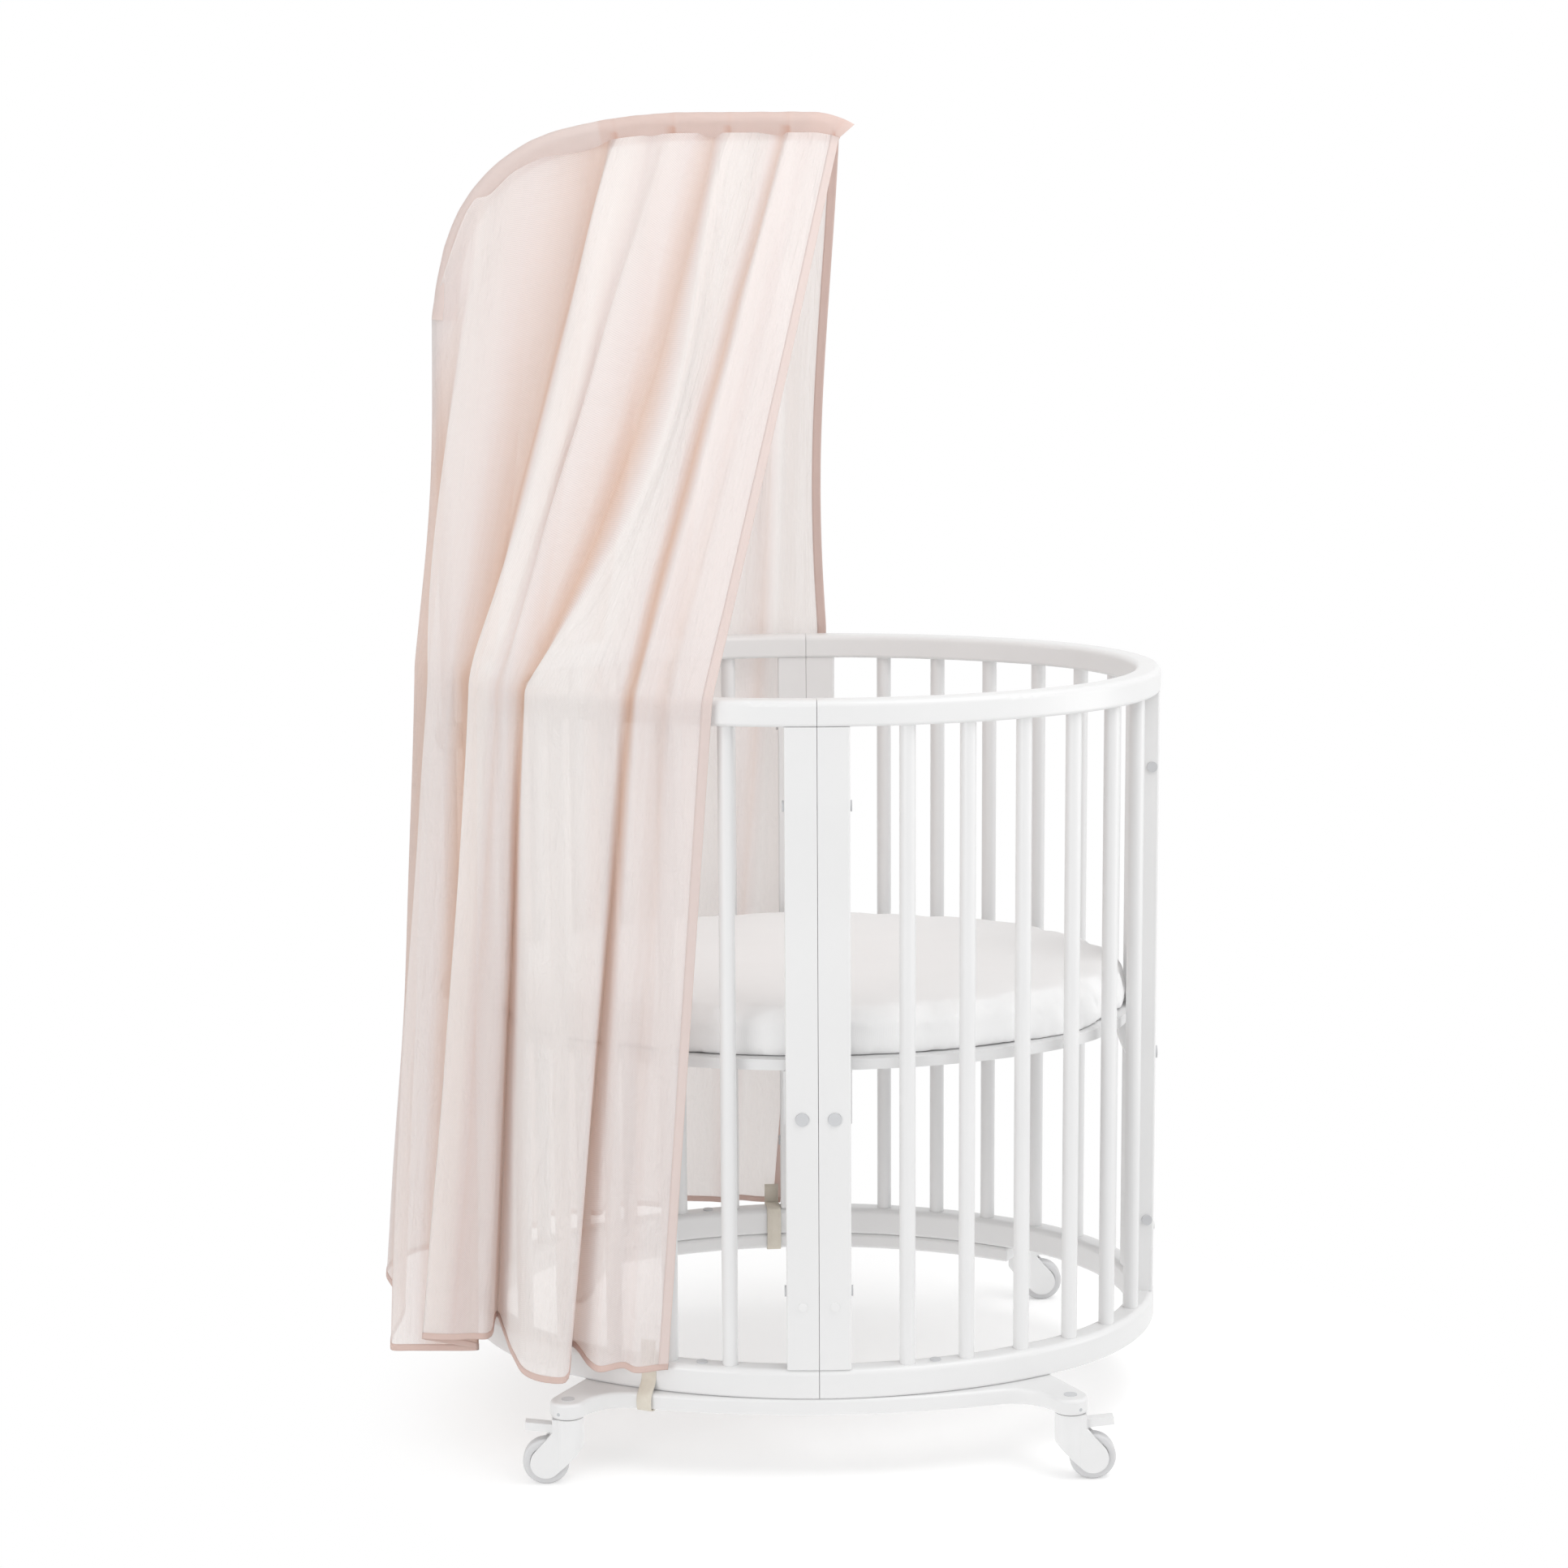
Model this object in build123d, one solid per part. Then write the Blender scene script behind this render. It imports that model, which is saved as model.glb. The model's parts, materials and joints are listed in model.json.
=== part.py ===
from build123d import *
import os
from math import acos, asin, atan2, cos, degrees, hypot, pi, radians, sin, sqrt

# An oval baby crib on casters with a hanging canopy. Millimetres, +Z up, origin on the floor at the
# centre of the oval. X runs along the oval, the front is -Y and the head end with the canopy is -X.

# Oval plan, given at the outer face of the rails
CRIB_LENGTH = 823.0
CRIB_WIDTH = 670.0
SIDE_RADIUS = 500.0

# Heights above the floor
RAIL_TOP = 882.0
TOP_RAIL_HEIGHT = 29.0
BOTTOM_RAIL_TOP = 130.0
BOTTOM_RAIL_HEIGHT = 34.0
FOOT_THICKNESS = 19.0
BASE_TOP = 477.0
BASE_THICKNESS = 12.0

# Rails, posts and bars
RAIL_DEPTH = 30.0
RAIL_TOP_ROUND = 7.0
RAIL_LOWER_ROUND = 4.0
SEAM_GAP = 0.6
SIDE_POST_WIDTH = 36.0
END_POST_WIDTH = 57.0
POST_DEPTH = 26.0
POST_INSET = 1.0
POST_ROUND = 2.0
BARS_PER_QUARTER = 6
BAR_DIAMETER = 18.0
BAR_SIDE_MARGIN = 67.0
BAR_END_MARGIN = 69.0
BAR_SOCKET_DEPTH = 12.0
SOCKET_CLEARANCE = 0.1
DOWEL_DIAMETER = 8.0
DOWEL_DEPTH = 16.0
DOWEL_CLEARANCE = 0.05

# Bolts that close the seams between the quarter panels
SEAM_BOLT_HEIGHTS = (218.0, 765.0)
SEAM_SLEEVE_DIAMETER = 9.0
SEAM_SCREW_DIAMETER = 6.0
SEAM_HEAD_DIAMETER = 12.5
SEAM_HEAD_THICKNESS = 2.2
SEAM_SCREW_LENGTH = 16.0
BOLT_CLEARANCE = 0.1

# Mattress base, its brackets and their bolts
BASE_CLEARANCE = 5.0
SLOT_LENGTH = 90.0
SLOT_WIDTH = 14.0
SLOT_COLUMNS = 5
SLOT_ROWS = 4
SLOT_PITCH_X = 118.0
SLOT_PITCH_Y = 76.0
BRACKET_WIDTH = 76.0
BRACKET_HEIGHT = 60.0
BRACKET_LEDGE = 20.0
BRACKET_LIP = 7.0
BRACKET_BELLY = 14.0
BRACKET_TOE = 4.0
BRACKET_GAP = 0.2
SUPPORT_BOLT_DROP = 60.0
SUPPORT_HEAD_DIAMETER = 15.0
SUPPORT_HEAD_SEAT = 2.0
SUPPORT_HEAD_PROUD = 1.5
SUPPORT_SHANK_DIAMETER = 6.0
SUPPORT_SHANK_REACH = 3.5
PLUG_HEIGHT = 203.0
PLUG_DIAMETER = 10.0
PLUG_DEPTH = 6.0
PLUG_PROUD = 0.8

# Mattress
MATTRESS_THICKNESS = 46.0
MATTRESS_CROWN = 8.0
MATTRESS_SIDE_SHARES = (0.0, 0.12, 0.28, 0.5, 0.72, 0.88, 1.0)
MATTRESS_SIDE_INSETS = (12.0, 3.0, 0.0, 1.5, 0.0, 5.0, 18.0)
MATTRESS_CROWN_SHARES = (0.45, 0.8, 1.0)
MATTRESS_CROWN_REACHES = (0.225, 0.45, 0.715)
MATTRESS_CLEARANCE = 4.0
MATTRESS_LIFT_GAP = 0.3

# Foot bars and what bolts them to the rails
FOOT_BOW_RADIUS = 735.0
FOOT_NECK_RADIUS = 50.0
FOOT_PAD_RADIUS = 20.0
FOOT_REACH = 285.0
FOOT_ROUND = 4.0
CASTER_X = 281.0
CASTER_INSET = 10.0
FOOT_BOLT_X = 131.0
FOOT_BOLT_HEAD_DIAMETER = 12.5
FOOT_BOLT_HEAD_THICKNESS = 1.6
FOOT_BOLT_DIAMETER = 6.0
FOOT_BOLT_DEPTH = 13.0

# Casters
STEM_DIAMETER = 8.0
STEM_CLEARANCE = 0.05
STEM_IN_HOUSING = 17.0
STEM_IN_FOOT = 12.0
STEM_PLUG_DIAMETER = 15.0
STEM_PLUG_DEPTH = 5.0
STEM_PLUG_PROUD = 0.6
SET_SCREW_DIAMETER = 4.0
STEM_GROOVE_DIAMETER = 6.0
STEM_GROOVE_WIDTH = 5.0
SET_SCREW_GAP = 0.4
SET_SCREW_BEARING = 60.0
SWIVEL_GAP = 0.5
HOUSING_RADIUS = 17.5
HOOD_WIDTH = 28.0
HOOD_DISC_RADIUS = 17.5
HOOD_CORNER_HEIGHT = 44.0
HOOD_SHOULDER_HEIGHT = 60.0
WHEEL_RADIUS = 26.0
WHEEL_WIDTH = 18.0
WHEEL_ROUND = 3.0
WHEEL_RECESS_RADIUS = 18.0
WHEEL_RECESS_DEPTH = 3.0
WHEEL_BOSS_RADIUS = 7.0
WHEEL_TRAIL = 25.0
WHEEL_ROOM = 1.5
WHEEL_SIDE_ROOM = 0.8
AXLE_DIAMETER = 6.0
AXLE_IN_HOOD = 2.8
AXLE_CLEARANCE = 0.05
LEVER_PIVOT_X = 15.5
LEVER_PIVOT_HEIGHT = 58.0
LEVER_BARREL_RADIUS = 4.4
LEVER_WIDTH = 14.0
LEVER_SIDE_ROOM = 0.6
LEVER_REACH = 33.0
LEVER_TILT = 6.0
LEVER_THICKNESS = 9.0
LEVER_RISE = 6.0
LEVER_NOSE_RADIUS = 7.1
LEVER_NOSE_WIDTH = 2.4
LEVER_NOSE_ANGLE = -45.0
LEVER_PIN_DIAMETER = 3.0
LEVER_PIN_IN_HOOD = 3.0

# Canopy rod and its clamps
ROD_DIAMETER = 16.0
ROD_WALL = 1.5
ROD_STANDOFF = 16.0
ROD_FOOT_HEIGHT = 480.0
ROD_JOINT_HEIGHT = 1000.0
ROD_SPIGOT_LENGTH = 60.0
ROD_SPIGOT_CLEARANCE = 0.1
ROD_BEND_START = 1229.5
ROD_BEND_RADII = (600.0, 182.0, 600.0)
ROD_BEND_ANGLES = (12.0, 64.0, 14.0)
ROD_STRAIGHT = 137.0
CLAMP_HEIGHTS = (500.0, 800.0)
CLAMP_HEIGHT = 26.0
CLAMP_WIDTH = 40.0
CLAMP_WALL = 5.0
CLAMP_CLEARANCE = 0.05
CLAMP_SCREW_SPACING = 26.0
CLAMP_SCREW_DIAMETER = 5.0
CLAMP_SCREW_HEAD_DIAMETER = 9.0
CLAMP_SCREW_HEAD = 2.0
CLAMP_SCREW_IN_POST = 15.0

# Canopy cloth
CLOTH_THICKNESS = 2.0
SLEEVE_THICKNESS = 1.5
SLEEVE_CLEARANCE = 0.3
SLEEVE_START = 55.0
SLEEVE_OVERHANG = 35.0
HEM_HEIGHT = 126.0
CLOTH_OVER_RAIL = 3.0
WRAP_STEP = 45.0

# Fold lines of the cloth from the head end to the free edge. Each has its place along the rod, then its
# place along the rail from the head end and how far it stands outside it, then the same two at the hem.
FRONT_FOLDS = (
    (60.0, 0.0, 54.0, 0.0, 107.0),
    (75.0, 40.0, 44.0, 80.0, 122.0),
    (95.0, 80.0, 30.0, 155.0, 134.0),
    (130.0, 88.0, 27.0, 161.0, 128.0),
    (165.0, 93.0, 24.0, 166.0, 122.0),
    (200.0, 98.0, 22.0, 169.0, 117.0),
    (240.0, 104.0, 20.0, 172.0, 112.0),
    (280.0, 110.0, 16.0, 174.0, 105.0),
    (330.0, 118.0, 11.0, 177.0, 95.0),
    (391.0, 128.0, 6.0, 180.0, 84.0),
    (425.0, 165.0, 15.0, 198.0, 58.0),
    (460.0, 236.0, 6.0, 215.0, 12.0),
    (490.0, 304.0, 15.0, 312.0, 90.0),
    (520.0, 384.0, 6.0, 333.0, 12.0),
    (553.0, 405.0, 13.0, 358.0, 44.0),
    (586.0, 422.0, 6.0, 378.0, 30.0),
    (617.0, 450.0, 11.0, 402.0, 34.0),
    (646.0, 478.0, 9.0, 424.0, 16.0),
)
BACK_FOLDS = (
    (60.0, 0.0, 54.0, 0.0, 107.0),
    (75.0, 40.0, 44.0, 70.0, 112.0),
    (95.0, 80.0, 30.0, 130.0, 96.0),
    (130.0, 94.0, 26.0, 142.0, 86.0),
    (165.0, 107.0, 21.0, 153.0, 75.0),
    (200.0, 121.0, 17.0, 163.0, 65.0),
    (240.0, 137.0, 12.0, 174.0, 54.0),
    (290.0, 160.0, 6.0, 190.0, 40.0),
    (340.0, 187.0, 11.0, 218.0, 55.0),
    (391.0, 215.0, 15.0, 245.0, 70.0),
    (425.0, 280.0, 6.0, 290.0, 25.0),
    (460.0, 340.0, 14.0, 345.0, 60.0),
    (500.0, 400.0, 6.0, 395.0, 20.0),
    (540.0, 460.0, 14.0, 445.0, 50.0),
    (580.0, 530.0, 6.0, 495.0, 16.0),
    (615.0, 580.0, 12.0, 535.0, 34.0),
    (646.0, 615.0, 8.0, 555.0, 14.0),
)

# Tie straps round the bottom rail and foot bar
STRAP_WIDTH = 18.0
STRAP_THICKNESS = 1.2
STRAP_CLEARANCE = 0.4
STRAP_TAIL = 24.0
FRONT_STRAP_PLACE = 196.0
BACK_STRAP_PLACE = 48.0

# Worked out from the sizes above
HALF_LENGTH = CRIB_LENGTH / 2
HALF_WIDTH = CRIB_WIDTH / 2
SIDE_DROP = SIDE_RADIUS - HALF_WIDTH
END_RADIUS = (SIDE_RADIUS**2 - HALF_LENGTH**2 - SIDE_DROP**2) / (2 * (SIDE_RADIUS - HALF_LENGTH))
END_CENTRE = HALF_LENGTH - END_RADIUS
SIDE_ANGLE = asin(END_CENTRE / (SIDE_RADIUS - END_RADIUS))
SIDE_LENGTH = SIDE_RADIUS * SIDE_ANGLE
QUARTER = SIDE_LENGTH + END_RADIUS * (pi / 2 - SIDE_ANGLE)
TOP_RAIL_BOTTOM = RAIL_TOP - TOP_RAIL_HEIGHT
BOTTOM_RAIL_BOTTOM = BOTTOM_RAIL_TOP - BOTTOM_RAIL_HEIGHT
FOOT_TOP = BOTTOM_RAIL_BOTTOM
FOOT_BOTTOM = FOOT_TOP - FOOT_THICKNESS
CASTER_Y = HALF_WIDTH - CASTER_INSET
SET_SCREW_HEIGHT = FOOT_BOTTOM + (FOOT_THICKNESS - STEM_PLUG_DEPTH) / 2
BASE_BOTTOM = BASE_TOP - BASE_THICKNESS
SUPPORT_BOLT_HEIGHT = BASE_TOP - SUPPORT_BOLT_DROP
POST_BACK = POST_INSET + POST_DEPTH
POST_MIDDLE = POST_INSET + POST_DEPTH / 2
HOUSING_TOP = FOOT_BOTTOM - SWIVEL_GAP
HOOD_SLOT = WHEEL_WIDTH + 2 * WHEEL_SIDE_ROOM
ROD_RADIUS = ROD_DIAMETER / 2
ROD_X = -(HALF_LENGTH + ROD_STANDOFF)
SLEEVE_RADIUS = ROD_RADIUS + SLEEVE_CLEARANCE + SLEEVE_THICKNESS
QUARTERS = {"front_left": (-1, -1), "front_right": (1, -1), "back_left": (-1, 1), "back_right": (1, 1)}
LOW = (Align.CENTER, Align.CENTER, Align.MIN)


def oval_angle(along):
    """Angle from +Y of the outward normal, at a distance along the outer face from the long side's middle."""
    if along <= SIDE_LENGTH:
        return along / SIDE_RADIUS
    return SIDE_ANGLE + (along - SIDE_LENGTH) / END_RADIUS


def oval_point(along, out):
    """Point of the +X +Y quarter at a distance along the outer face and a distance outside it."""
    angle = oval_angle(along)
    if along <= SIDE_LENGTH:
        reach = SIDE_RADIUS + out
        return Vector(reach * sin(angle), reach * cos(angle) - SIDE_DROP)
    reach = END_RADIUS + out
    return Vector(END_CENTRE + reach * sin(angle), reach * cos(angle))


def oval_edges(start, stop, out):
    """Arcs along the quarter from start to stop, at a distance outside the outer face."""
    stops = [start, stop]
    if min(start, stop) < SIDE_LENGTH < max(start, stop):
        stops = [start, SIDE_LENGTH, stop]
    edges = []
    for first, last in zip(stops, stops[1:]):
        middle = oval_point((first + last) / 2, out)
        edges.append(ThreePointArc(oval_point(first, out), middle, oval_point(last, out)))
    return edges


def quarter_band(outer_inset, inner_inset):
    """Flat band of one quarter between two insets from the outer face, open by half the seam at each end."""
    start = SEAM_GAP / 2
    stop = QUARTER - SEAM_GAP / 2
    outer = oval_edges(start, stop, -outer_inset)
    inner = oval_edges(stop, start, -inner_inset)
    end_cap = Line(oval_point(stop, -outer_inset), oval_point(stop, -inner_inset))
    side_cap = Line(oval_point(start, -inner_inset), oval_point(start, -outer_inset))
    return make_face(outer + [end_cap] + inner + [side_cap])


def oval_wire(inset, height):
    """The whole oval, inset from the outer face, at a height."""
    quarter = oval_edges(0, QUARTER, -inset)
    half = quarter + [edge.mirror(Plane.XZ) for edge in quarter]
    whole = half + [edge.mirror(Plane.YZ) for edge in half]
    return Pos(0, 0, height) * Wire(whole)


def to_quarter(shape, name):
    """Turn or mirror a shape of the +X +Y quarter into the named quarter."""
    x_sign, y_sign = QUARTERS[name]
    if x_sign < 0 and y_sign < 0:
        return Rot(0, 0, 180) * shape
    if x_sign < 0:
        return mirror(shape, about=Plane.YZ)
    if y_sign < 0:
        return mirror(shape, about=Plane.XZ)
    return shape


def upright(diameter, bottom, top):
    """Round rod standing on the Z axis between two heights."""
    return Pos(0, 0, bottom) * Cylinder(diameter / 2, top - bottom, align=LOW)


def along_x(diameter, start, stop):
    """Round rod on the X axis between two places."""
    return Pos(start, 0, 0) * Rot(0, 90, 0) * Cylinder(diameter / 2, stop - start, align=LOW)


def along_y(diameter, start, stop):
    """Round rod on the Y axis between two places."""
    return Pos(0, start, 0) * Rot(-90, 0, 0) * Cylinder(diameter / 2, stop - start, align=LOW)


def solids_of(shapes):
    """One compound of the separate solids in a list of shapes."""
    return Compound([solid for shape in shapes for solid in shape.solids()])


# Quarter panels: two rails, a side post, an end post and a row of round bars

def bar_places():
    """Axes of the bars of one quarter, evenly spaced along the rail between the two posts."""
    first = SIDE_POST_WIDTH + BAR_SIDE_MARGIN
    last = QUARTER - END_POST_WIDTH - BAR_END_MARGIN
    pitch = (last - first) / (BARS_PER_QUARTER - 1)
    return [oval_point(first + pitch * count, -RAIL_DEPTH / 2) for count in range(BARS_PER_QUARTER)]


def post_centres():
    """Axes of the dowels at the middle of the side post and the end post."""
    side = Vector(SIDE_POST_WIDTH / 2, HALF_WIDTH - POST_MIDDLE)
    end = Vector(HALF_LENGTH - POST_MIDDLE, END_POST_WIDTH / 2)
    return [side, end]


def foot_bolt_place():
    """Axis of the bolt that holds the rail to the foot bar."""
    return oval_point(SIDE_RADIUS * asin(FOOT_BOLT_X / (SIDE_RADIUS - RAIL_DEPTH / 2)), -RAIL_DEPTH / 2)


def rail_blank(bottom, height):
    """A quarter rail with rounded edges and no holes."""
    blank = Pos(0, 0, bottom) * extrude(quarter_band(0, RAIL_DEPTH), height)
    curved = blank.edges().filter_by(GeomType.CIRCLE).group_by(Axis.Z)
    blank = fillet(curved[-1], RAIL_TOP_ROUND)
    lower = blank.edges().filter_by(GeomType.CIRCLE).group_by(Axis.Z)[0]
    return fillet(lower, RAIL_LOWER_ROUND)


def top_rail():
    rail = rail_blank(TOP_RAIL_BOTTOM, TOP_RAIL_HEIGHT)
    socket = upright(BAR_DIAMETER + 2 * SOCKET_CLEARANCE, TOP_RAIL_BOTTOM, TOP_RAIL_BOTTOM + BAR_SOCKET_DEPTH)
    dowel_hole = upright(DOWEL_DIAMETER + 2 * DOWEL_CLEARANCE, TOP_RAIL_BOTTOM, TOP_RAIL_BOTTOM + DOWEL_DEPTH)
    rail -= [Pos(place) * socket for place in bar_places()]
    rail -= [Pos(place) * dowel_hole for place in post_centres()]
    return rail


def bottom_rail():
    rail = rail_blank(BOTTOM_RAIL_BOTTOM, BOTTOM_RAIL_HEIGHT)
    socket = upright(BAR_DIAMETER + 2 * SOCKET_CLEARANCE, BOTTOM_RAIL_TOP - BAR_SOCKET_DEPTH, BOTTOM_RAIL_TOP)
    dowel_hole = upright(DOWEL_DIAMETER + 2 * DOWEL_CLEARANCE, BOTTOM_RAIL_TOP - DOWEL_DEPTH, BOTTOM_RAIL_TOP)
    bolt_hole = upright(FOOT_BOLT_DIAMETER + 2 * BOLT_CLEARANCE, BOTTOM_RAIL_BOTTOM, BOTTOM_RAIL_TOP)
    rail -= [Pos(place) * socket for place in bar_places()]
    rail -= [Pos(place) * dowel_hole for place in post_centres()]
    rail -= Pos(foot_bolt_place()) * bolt_hole
    return rail


def post_blank():
    """A curved slab between the rails, as deep as a post, along the whole quarter."""
    band = quarter_band(POST_INSET, POST_BACK)
    return Pos(0, 0, BOTTOM_RAIL_TOP) * extrude(band, TOP_RAIL_BOTTOM - BOTTOM_RAIL_TOP)


def post_dowel_holes(centre):
    size = DOWEL_DIAMETER + 2 * DOWEL_CLEARANCE
    low = upright(size, BOTTOM_RAIL_TOP, BOTTOM_RAIL_TOP + DOWEL_DEPTH)
    high = upright(size, TOP_RAIL_BOTTOM - DOWEL_DEPTH, TOP_RAIL_BOTTOM)
    return [Pos(centre) * low, Pos(centre) * high]


def side_post():
    """Post beside the front or back seam."""
    keep = Box(SIDE_POST_WIDTH, CRIB_WIDTH, 2 * RAIL_TOP, align=(Align.MIN, Align.MIN, Align.CENTER))
    post = post_blank() & keep
    far_edges = post.edges().filter_by(Axis.Z).group_by(Axis.X)[-1]
    post = fillet(far_edges, POST_ROUND)
    centre = post_centres()[0]
    sleeve_hole = along_x(SEAM_SLEEVE_DIAMETER + 2 * BOLT_CLEARANCE, 0, SIDE_POST_WIDTH)
    post -= [Pos(0, centre.Y, height) * sleeve_hole for height in SEAM_BOLT_HEIGHTS]
    face = HALF_WIDTH - POST_INSET
    through = along_y(SUPPORT_SHANK_DIAMETER + 2 * BOLT_CLEARANCE, face - 2 * POST_DEPTH, face + POST_DEPTH)
    seat = along_y(SUPPORT_HEAD_DIAMETER + 2 * BOLT_CLEARANCE, face - SUPPORT_HEAD_SEAT, face + POST_DEPTH)
    post -= [Pos(centre.X, 0, SUPPORT_BOLT_HEIGHT) * hole for hole in (through, seat)]
    post -= Pos(centre.X, 0, PLUG_HEIGHT) * along_y(PLUG_DIAMETER, face - PLUG_DEPTH, face + POST_DEPTH)
    post -= post_dowel_holes(centre)
    return post


def end_post():
    """Post beside the head or foot seam."""
    keep = Box(CRIB_LENGTH, END_POST_WIDTH, 2 * RAIL_TOP, align=(Align.MIN, Align.MIN, Align.CENTER))
    post = post_blank() & keep
    far_edges = post.edges().filter_by(Axis.Z).group_by(Axis.Y)[-1]
    post = fillet(far_edges, POST_ROUND)
    centre = post_centres()[1]
    sleeve_hole = along_y(SEAM_SLEEVE_DIAMETER + 2 * BOLT_CLEARANCE, 0, END_POST_WIDTH)
    post -= [Pos(centre.X, 0, height) * sleeve_hole for height in SEAM_BOLT_HEIGHTS]
    face = end_face_x(centre.Y)
    through = along_x(SUPPORT_SHANK_DIAMETER + 2 * BOLT_CLEARANCE, face - 2 * POST_DEPTH, face + POST_DEPTH)
    seat = along_x(SUPPORT_HEAD_DIAMETER + 2 * BOLT_CLEARANCE, face - SUPPORT_HEAD_SEAT, face + POST_DEPTH)
    post -= [Pos(0, centre.Y, SUPPORT_BOLT_HEIGHT) * hole for hole in (through, seat)]
    post -= Pos(0, centre.Y, PLUG_HEIGHT) * along_x(PLUG_DIAMETER, face - PLUG_DEPTH, face + POST_DEPTH)
    post -= post_dowel_holes(centre)
    return post


def end_face_x(y):
    """Where the outer face of an end post lies, at a distance from the seam."""
    return END_CENTRE + sqrt((END_RADIUS - POST_INSET) ** 2 - y**2)


def bars():
    bar = upright(BAR_DIAMETER, BOTTOM_RAIL_TOP - BAR_SOCKET_DEPTH, TOP_RAIL_BOTTOM + BAR_SOCKET_DEPTH)
    return solids_of([Pos(place) * bar for place in bar_places()])


def post_dowels():
    """Wooden dowels that pin every post to its two rails."""
    low = upright(DOWEL_DIAMETER, BOTTOM_RAIL_TOP - DOWEL_DEPTH, BOTTOM_RAIL_TOP + DOWEL_DEPTH)
    high = upright(DOWEL_DIAMETER, TOP_RAIL_BOTTOM - DOWEL_DEPTH, TOP_RAIL_BOTTOM + DOWEL_DEPTH)
    quarter = [Pos(centre) * dowel for centre in post_centres() for dowel in (low, high)]
    return solids_of([to_quarter(dowel, name) for name in QUARTERS for dowel in quarter])


# Fasteners of the panels

def seam_sleeve(half_span):
    """Headed sleeve nut on the X axis that spans both posts of a seam, stopping short of the far face."""
    head = along_x(SEAM_HEAD_DIAMETER, half_span, half_span + SEAM_HEAD_THICKNESS)
    tube = along_x(SEAM_SLEEVE_DIAMETER, -half_span + SEAM_HEAD_THICKNESS, half_span)
    bore = along_x(SEAM_SCREW_DIAMETER + 2 * BOLT_CLEARANCE, -half_span, -half_span + 2 * SEAM_SCREW_LENGTH)
    return head + tube - bore


def seam_screw(half_span):
    """Cap screw that enters the sleeve nut from the far side."""
    head = along_x(SEAM_HEAD_DIAMETER, -half_span - SEAM_HEAD_THICKNESS, -half_span)
    shank = along_x(SEAM_SCREW_DIAMETER, -half_span, -half_span + SEAM_SCREW_LENGTH)
    return head + shank


def at_seams(maker):
    """Copies of a seam fastener at the four seams and at each bolt height."""
    side_y = HALF_WIDTH - POST_MIDDLE
    end_x = HALF_LENGTH - POST_MIDDLE
    side = maker(SIDE_POST_WIDTH)
    end = Rot(0, 0, 90) * maker(END_POST_WIDTH)
    copies = []
    for height in SEAM_BOLT_HEIGHTS:
        for sign in (-1, 1):
            copies.append(Pos(0, sign * side_y, height) * side)
            copies.append(Pos(sign * end_x, 0, height) * end)
    return solids_of(copies)


def support_bolt_pair(face, spread):
    """Two bolts along Y, heads in the outer face at y = face, a spread either side of the seam."""
    seat = face - SUPPORT_HEAD_SEAT
    head = along_y(SUPPORT_HEAD_DIAMETER, seat, face + SUPPORT_HEAD_PROUD)
    tip = face - POST_DEPTH - BRACKET_TOE - SUPPORT_SHANK_REACH
    bolt = head + along_y(SUPPORT_SHANK_DIAMETER, tip, seat)
    return [Pos(sign * spread, 0, SUPPORT_BOLT_HEIGHT) * bolt for sign in (-1, 1)]


def plug_pair(face, spread):
    """Two push-in covers of the unused lower bolt holes."""
    plug = along_y(PLUG_DIAMETER, face - PLUG_DEPTH, face + PLUG_PROUD)
    return [Pos(sign * spread, 0, PLUG_HEIGHT) * plug for sign in (-1, 1)]


def at_posts(maker):
    """Copies of a pair of face fasteners on the posts of the four seams."""
    side_face = HALF_WIDTH - POST_INSET
    side = maker(side_face, SIDE_POST_WIDTH / 2)
    end = maker(end_face_x(END_POST_WIDTH / 2), END_POST_WIDTH / 2)
    turns = ((side, 0), (side, 180), (end, 90), (end, -90))
    return solids_of([Rot(0, 0, turn) * item for pair, turn in turns for item in pair])


# Mattress base, brackets and mattress

def mattress_base():
    """Oval board with slots that let air through."""
    outline = Face(oval_wire(POST_BACK + BASE_CLEARANCE, BASE_BOTTOM))
    board = extrude(outline, BASE_THICKNESS, dir=(0, 0, 1))
    slot = extrude(SlotOverall(SLOT_LENGTH, SLOT_WIDTH), BASE_THICKNESS)
    places = GridLocations(SLOT_PITCH_X, SLOT_PITCH_Y, SLOT_COLUMNS, SLOT_ROWS)
    return board - [Pos(0, 0, BASE_BOTTOM) * place * slot for place in places]


def bracket(back, spread):
    """Rounded bracket whose flat back stands at y = back and whose ledge carries the base."""
    low = BASE_BOTTOM - BRACKET_HEIGHT
    lip = BASE_BOTTOM - BRACKET_LIP
    ledge = back - BRACKET_LEDGE
    belly_point = (back - BRACKET_BELLY, (low + lip) / 2)
    outline = [
        Line((back, low), (back, BASE_BOTTOM)),
        Line((back, BASE_BOTTOM), (ledge, BASE_BOTTOM)),
        Line((ledge, BASE_BOTTOM), (ledge, lip)),
        ThreePointArc((ledge, lip), belly_point, (back - BRACKET_TOE, low)),
        Line((back - BRACKET_TOE, low), (back, low)),
    ]
    body = extrude(Plane.YZ * make_face(outline), BRACKET_WIDTH / 2, both=True)
    tip = back - BRACKET_TOE - SUPPORT_SHANK_REACH
    hole = along_y(SUPPORT_SHANK_DIAMETER + 2 * BOLT_CLEARANCE, tip - BOLT_CLEARANCE, back)
    return body - [Pos(sign * spread, 0, SUPPORT_BOLT_HEIGHT) * hole for sign in (-1, 1)]


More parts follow.
